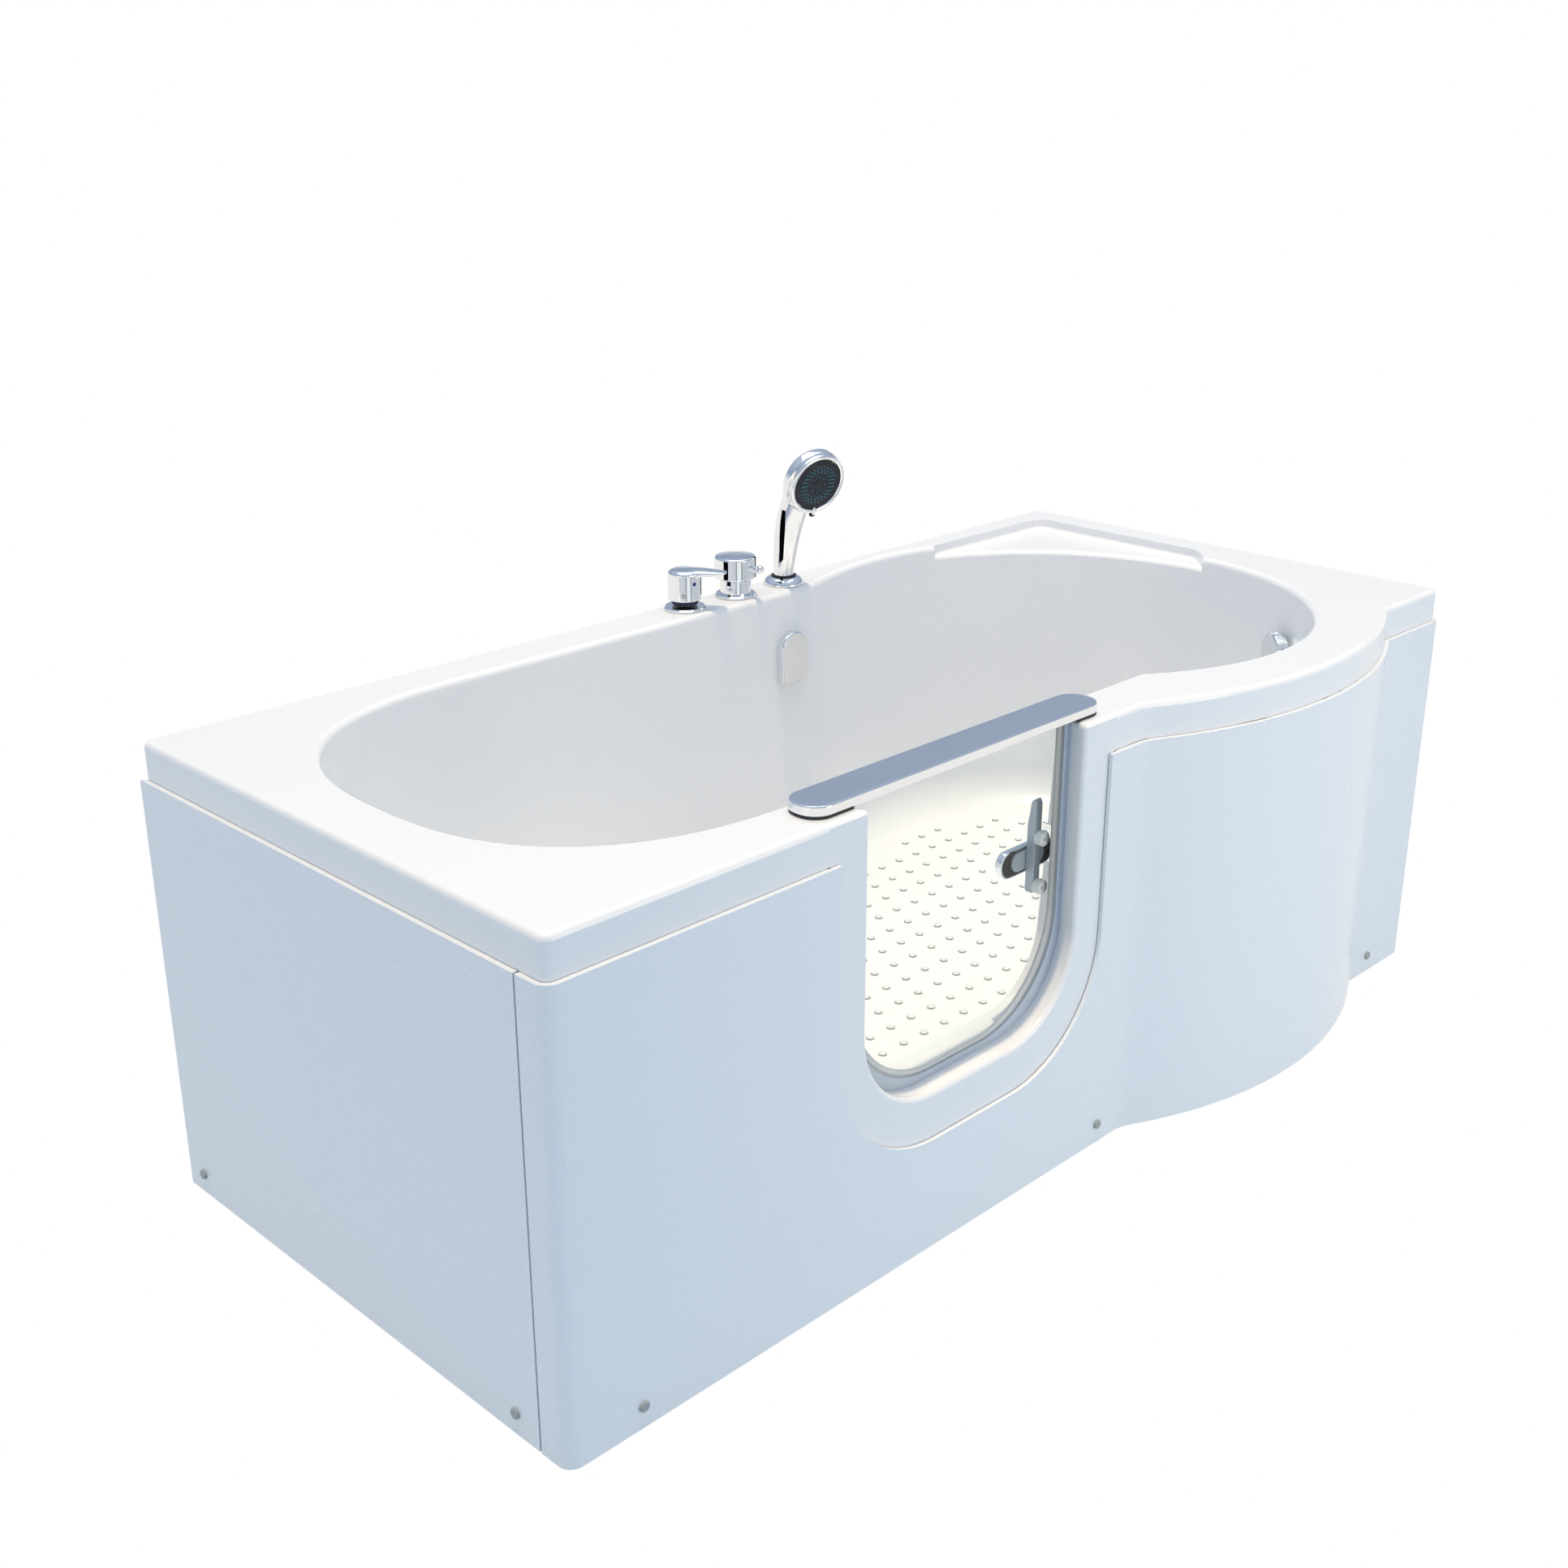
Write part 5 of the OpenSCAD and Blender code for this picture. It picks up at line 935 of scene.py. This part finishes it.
SHOWER_TURN = turn(-100, "Z")
HEAD_TILT = SHOWER_TURN @ Matrix.Translation((88, 0, 165)) @ turn(107, "Y")
GRIP = ((0, -18, 14.2), (0, -17, 15.0), (0, 0, 15.0), (0, 18, 15.4), (3, 43, 17.2), (9, 73, 19.2),
        (18, 101, 20.6), (30, 127, 21.6), (43, 147, 22.5), (56, 158, 22.0), (66, 164, 17.0))
STRAIGHT_PARTS = 3


def between(a, b, c, d, t):
    """A point on the smooth curve through b and c."""
    return [0.5 * (2 * q + (r - p) * t + (2 * p - 5 * q + 4 * r - s) * t * t
                   + (3 * q - p - 3 * r + s) * t ** 3) for p, q, r, s in zip(a, b, c, d)]


grip_path = []
for i in range(len(GRIP) - 1):
    near = [GRIP[max(i - 1, 0)], GRIP[i], GRIP[i + 1], GRIP[min(i + 2, len(GRIP) - 1)]]
    for t in steps(0, 1, 6)[:-1] if i >= STRAIGHT_PARTS else [0]:
        grip_path.append(between(*near, t))
grip_path.append(list(GRIP[-1]))
grip_turn = Matrix.Translation(SHOWER_AT) @ SHOWER_TURN
grip_rings = []
for i, (x, z, r) in enumerate(grip_path):
    (x0, z0, _), (x1, z1, _) = grip_path[max(i - 1, 0)], grip_path[min(i + 1, len(grip_path) - 1)]
    lean = math.atan2(x1 - x0, z1 - z0)
    grip_rings.append([tuple(grip_turn @ Vector((x + r * cos_d(a) * math.cos(lean), r * sin_d(a),
                                                 z - r * cos_d(a) * math.sin(lean))))
                       for a in range(0, 360, 9)])
shower_grip = from_rings("shower_grip", grip_rings)
head_profile = ([(0, -36)] + [(48.5 * sin_d(a), -18 - 18 * cos_d(a)) for a in steps(6, 90, 14)]
                + [(48.3, -11), (47.4, -8.4), (45.8, -7), (45.4, -6.2), (45.8, -5.4)]
                + arc(43, -3, 3.7, -20, 150, 12) + [(39.4, -2.6), (39.3, -5), (0, -5)])
join(shower_grip, turned("shower_head_shell", head_profile, SHOWER_AT, HEAD_TILT, 96))
polish(shower_grip, 40)
mount(shower_grip, chrome, "hand_shower", "bright_metal", "shower_handle", "shower_head")

# The spray face is a dark disc with three rings of soft teal nozzles.
NOZZLE_RINGS = ((12, 8, 0.5), (20.4, 22, 0.62), (24.3, 24, 0.66), (28.2, 28, 0.7))
face_grey = finish("spray_face_grey", (0.01, 0.014, 0.024), {"Specular IOR Level": 0.35}, speckled(
    (0.006, 0.009, 0.016), (0.014, 0.019, 0.032), (700.0, 3.0), (0.15, 0.3)))
nozzle_teal = finish("nozzle_teal", (0.1, 0.42, 0.5), {}, speckled(
    (0.05, 0.34, 0.42), (0.10, 0.50, 0.58), (500.0, 2.0), (0.1, 0.4)))
face_disc = turned("spray_disc", rounded([(0, -8), (6, -8), (6, -4.5), (38.9, -4.5), (38.9, -1.8),
                                          (37.9, -1.0), (33.8, -0.9), (33.0, -1.5), (32.2, -0.9), (9, -0.9),
                                          (8, -1.5), (7, -0.2), (0, 0.1)], 0.5, 3), SHOWER_AT, HEAD_TILT, 96)
polish(face_disc, 40)
mount(face_disc, face_grey, "spray", "face_grey", "spray_face")
nozzle_points, nozzle_faces = [], []
for ring_r, count, size in NOZZLE_RINGS:
    for k in range(count):
        a = 2 * math.pi * (k + 0.5 * (count % 4 == 2)) / count
        add_stud(nozzle_points, nozzle_faces, [
            [(ring_r * math.cos(a) + r * math.cos(b), ring_r * math.sin(a) + r * math.sin(b), h)
             for b in [math.pi * i / 4 for i in range(8)]]
            for r, h in ((size * 1.35, -1.2), (size * 1.25, -0.3), (size * 0.9, 0.35))])
nozzles = meshed("nozzle_rings", nozzle_points, nozzle_faces, Matrix.Translation(SHOWER_AT) @ HEAD_TILT)
mount(nozzles, nozzle_teal, "spray", "nozzle_teal", "spray_nozzles")

# The tab is a thin chromed strap over the head's edge, with a small black grip at its end.
black_plastic = finish("black_plastic", (0.006, 0.006, 0.007), {"Specular IOR Level": 0.3}, speckled(
    (0.004, 0.004, 0.005), (0.009, 0.009, 0.010), (350.0, 2.0), (0.12, 0.22)))
for name, low, high, round_by, material, slot, nodes in (
        ("tab_strap", (36, -1.6, -1.2), (48.5, 1.6, 1.5), 0.3, chrome, "bright_metal", []),
        ("tab_grip", (47.2, -3.6, -4.6), (51.4, 3.6, 1.2), 1.2, black_plastic, "black_plastic",
         ["spray_tab"])):
    piece = slab(name, low, high, Matrix.Translation(SHOWER_AT) @ HEAD_TILT)
    soften(piece, round_by)
    polish(piece)
    mount(piece, material, "spray", slot, *nodes)

# ------------------------ door
# The door is a sheet of clear toughened glass in a grey rubber seal. It closes on a satin
# metal profile, and a flat satin rail with polished edges is clamped along its top.
GLASS_FRONT, GLASS_BACK = 36, 44
SEAL_FRONT, SEAL_TOP = 31.5, RIM_Z - 4
HINGES_Z = (335, 500)


def glass_surface(place):
    return {"Roughness": place.noise(7.0, 3.0) * 0.01}


clear_glass = finish("clear_glass", (0.94, 0.98, 0.97),
                     {"Transmission Weight": 1.0, "IOR": 1.2, "Roughness": 0.0}, glass_surface)
cad_finish(clear_glass, "door_glass")


def u_strip(name, corners):
    """A strip round the doorway. Each corner of its section is (width, sill, radius, depth)."""
    lines = [[(x, y, z) for x, z in door_outline(w, z0, r, SEAL_TOP, 0, 20)] for w, z0, r, y in corners]
    n, m = len(lines[0]), len(lines)
    faces = [[j * n for j in range(m)], [j * n + n - 1 for j in range(m)]]
    for j in range(m):
        k = (j + 1) % m
        for i in range(n - 1):
            faces.append([j * n + i, j * n + i + 1, k * n + i + 1, k * n + i])
    piece = meshed(name, [p for line in lines for p in line], faces)
    face_outwards(piece)
    return piece


def seal_corner(t, y):
    """A point of the seal's face: t runs from the inner edge, past the profile at 1, outwards."""
    inner, middle, outer = (358, 222, 142), (376, 218, 138), (414, 200, 131)
    a, b, s = (inner, middle, t) if t < 1 else (middle, outer, t - 1)
    return (*[p + (q - p) * s for p, q in zip(a, b)], y)


def seal_surface(place):
    """Brown grey up the sides and paler along the sill."""
    height = place.node("ShaderNodeSeparateXYZ", None, {"Vector": place}, out=2)
    tone = (height - 0.22) * 5.0 + place.noise(160.0, 3.0) * 0.2
    return {"Base Color": tone.mix((0.74, 0.74, 0.71, 1), (0.50, 0.48, 0.44, 1)),
            "Roughness": tone * 0.05 + 0.45}


door_gasket = u_strip("door_gasket", [seal_corner(t, y) for t, y in (
    (0.0, GLASS_FRONT), (0.0, SEAL_FRONT + 1.6), (0.15, SEAL_FRONT + 0.4), (0.35, SEAL_FRONT + 0.1),
    (0.62, SEAL_FRONT + 0.1), (0.7, SEAL_FRONT + 1.8), (0.96, SEAL_FRONT + 1.8), (1.04, SEAL_FRONT),
    (1.97, SEAL_FRONT), (2.0, SEAL_FRONT + 1.0), (2.0, GLASS_BACK + 1.2), (1.95, GLASS_BACK + 2))]
    + [(392, 211, 120, GLASS_BACK + 2), (392, 211, 120, GLASS_BACK), (408.2, 202.9, 128, GLASS_BACK),
       (408.2, 202.9, 128, GLASS_FRONT)])
for hinge_z in HINGES_Z:
    cut(door_gasket, slab("leaf_gap", (400, GLASS_BACK, hinge_z - 20), (450, 60, hinge_z + 19.5)))
polish(door_gasket, 40)
mount(door_gasket, finish("seal_grey", (0.50, 0.48, 0.44), {}, seal_surface), "door", "seal", "door_seal")

# The profile is a slim white-grey metal channel, fixed to the tub round the doorway.
PROFILE_WHITE = (0.54, 0.59, 0.66)
profile_metal = finish("profile_metal", PROFILE_WHITE, {"Metallic": 0.1}, speckled(
    *tones(PROFILE_WHITE, 0.97, 1.03), (90.0, 2.0), (0.06, 0.36)))
doorway_profile = u_strip("doorway_profile", [
    (396, 209, 127, 31), (396, 209, 127, 28.6), (394.5, 209.7, 128, 28), (378, 217, 137, 28),
    (376, 218, 138, 29), (376, 218, 138, 31)])
polish(doorway_profile, 40)
mount(doorway_profile, profile_metal, "tub", "satin_metal", "door_profile")

# The rail is clamped on the glass. A thin rubber pad under each of its ends rests on the rim.
RAIL_X, RAIL_Y, RAIL_L, RAIL_W, RAIL_Z, RAIL_R = 370, 14, 507, 55, 603.5, 25
SLOT_FROM, SLOT_TO = (426.3, 35.9), (834.7, 44.1)
SATIN = (0.40, 0.475, 0.58)


def satin_surface(place):
    brushed = place.node("ShaderNodeMapping", None, {"Vector": place, "Scale": (6.0, 500.0, 500.0)})
    lines = brushed.noise(2.0, 3.0)
    low, high = tones(SATIN, 0.94, 1.06)
    return {"Base Color": lines.mix((*low, 1), (*high, 1)), "Roughness": lines * 0.08 + 0.30,
            "Normal": lines.bump(0.03, 0.0002)}


def rail_outline(inset):
    x0, y0, x1, y1 = RAIL_X + inset, RAIL_Y + inset, RAIL_X + RAIL_L - inset, RAIL_Y + RAIL_W - inset
    r = RAIL_R - inset
    return (arc(x0 + r, y0 + r, r, 180, 270, 14) + arc(x1 - r, y0 + r, r, 270, 360, 14)
            + arc(x1 - r, y1 - r, r, 0, 90, 14) + arc(x0 + r, y1 - r, r, 90, 180, 14))


handrail = stack("handrail", rail_outline, [
    (RAIL_Z, 0.8), (RAIL_Z + 0.8, 0), (RAIL_Z + 9.5, 0), (RAIL_Z + 10.8, 0.5), (RAIL_Z + 11.6, 1.3),
    (RAIL_Z + 12, 2.4)])
cut(handrail, slab("glass_slot", (*SLOT_FROM, RAIL_Z - 1), (*SLOT_TO, RAIL_Z + 6)))
polish(handrail, 40)
satin_metal = finish("satin_aluminium", SATIN, {"Metallic": 0.75}, satin_surface)
mount(handrail, chrome, "door", "satin_metal", "top_rail", second=[satin_metal])
for face in handrail.data.polygons:
    face.material_index = 1 if abs(face.normal.z) > 0.8 else 0

pads = stack("handrail_pads", rail_outline, [(600.5, 1.2), (601, 0.8), (603.1, 0.8), (RAIL_Z, 1.0)])
cut(pads, slab("pad_gap", (429.5, 0, 598), (823.5, 90, 606)))
cut(pads, slab("pad_slot", (*SLOT_FROM, 598), (*SLOT_TO, 606)))
polish(pads)
mount(pads, black_rubber, "door", "black_rubber", "rail_pads")

# ------------------------ latch
# The latch sits inside the glass. Two standoffs carry a flat metal bar, and behind the bar a
# lever turns on its spindle: a bright hollow cap, a near-black lining in it as painted shade, and a grey hub
# plate.
LATCH_X, LATCH_Z, STANDOFF_UP = 806, 413, 32.5
BAR_Y, BAR_D, BAR_W = 55, 12.5, 13
BAR_SIDE = ((1.5, -42), (BAR_D - 1.5, -42), (BAR_D, -40), (BAR_D, 48), (BAR_D - 2.6, 62), (8.2, 76), (7, 80),
            (5.5, 81.8), (4, 82.4), (2.2, 81.8), (0.8, 80), (0, 76), (0, -40.5))
BLADE_Y, LEVER_L, LEVER_W, LEVER_WALL = 70, 104, 36, 4

bar_metal = finish("bar_metal", (0.39, 0.45, 0.53), {"Metallic": 0.35}, speckled(
    (0.36, 0.42, 0.50), (0.42, 0.48, 0.56), (150.0, 3.0), (0.1, 0.33)))
bar = from_rings("latch_upright", [[(x, BAR_Y + y, LATCH_Z + z) for y, z in BAR_SIDE]
                                   for x in (LATCH_X - BAR_W / 2, LATCH_X + BAR_W / 2)])
soften(bar, 1.0, 50)
polish(bar)
mount(bar, bar_metal, "door", "bar_metal", "latch_bar")

standoff_grey = finish("standoff_grey", (0.74, 0.77, 0.80), {}, speckled(
    (0.70, 0.73, 0.76), (0.78, 0.80, 0.83), (120.0, 2.0), (0.08, 0.35)))
for up_z in (-STANDOFF_UP, STANDOFF_UP):
    standoff = turned("standoff", rounded([(0, 6), (2.4, 6), (2.4, 0), (9.4, 0), (9.4, 10.8), (0, 10.8)],
                                          1.0, 3),
                      (LATCH_X, GLASS_BACK + 0.2, LATCH_Z + up_z), turn(-90, "X"), 48)
    polish(standoff, 40)
    mount(standoff, standoff_grey, "door", "bar_metal", "latch_standoffs")


def pill(name, length, height, layers):
    """A flat shape with round ends in the latch's plane. Layers are (depth from the blade, inset)."""
    rings = []
    for depth, inset in layers:
        r, straight = height / 2 - inset, (length - height) / 2
        outline = arc(straight, 0, r, -90, 90, 20) + arc(-straight, 0, r, 90, 270, 20)
        rings.append([(LATCH_X + x, BLADE_Y + depth, LATCH_Z + z) for x, z in outline])
    return from_rings(name, rings)


lever_cap = pill("lever_cap", LEVER_L, LEVER_W, [(0, 0.6), (0.6, 0), (6, 0)]
                 + [(6 + 8 * sin_d(a), 8 * (1 - cos_d(a))) for a in steps(15, 75, 5)] + [(14, 7.2)])
cut(lever_cap, pill("lever_hollow", LEVER_L - LEVER_WALL, LEVER_W - LEVER_WALL, [(-1, 0), (9, 0)]))
# The lining is painted shade: a near-black layer inside the cap, where the hollow is dark.
painted_shade_liner = pill("lever_painted_shade_lining", LEVER_L - LEVER_WALL, LEVER_W - LEVER_WALL, [(1, 0.5), (1.5, 0), (9, 0)])
hub = pill("lever_hub", 63, 26, [(-2, 1.0), (-1.2, 0.3), (-0.4, 0), (1.6, 0)])
for piece, material, slot, nodes in ((lever_cap, chrome, "bright_metal", ["latch_lever"]),
                                     (painted_shade_liner, black_plastic, "black_plastic", ["lever_liner"]),
                                     (hub, bar_metal, "bar_metal", [])):
    polish(piece, 40)
    mount(piece, material, "latch", slot, *nodes)
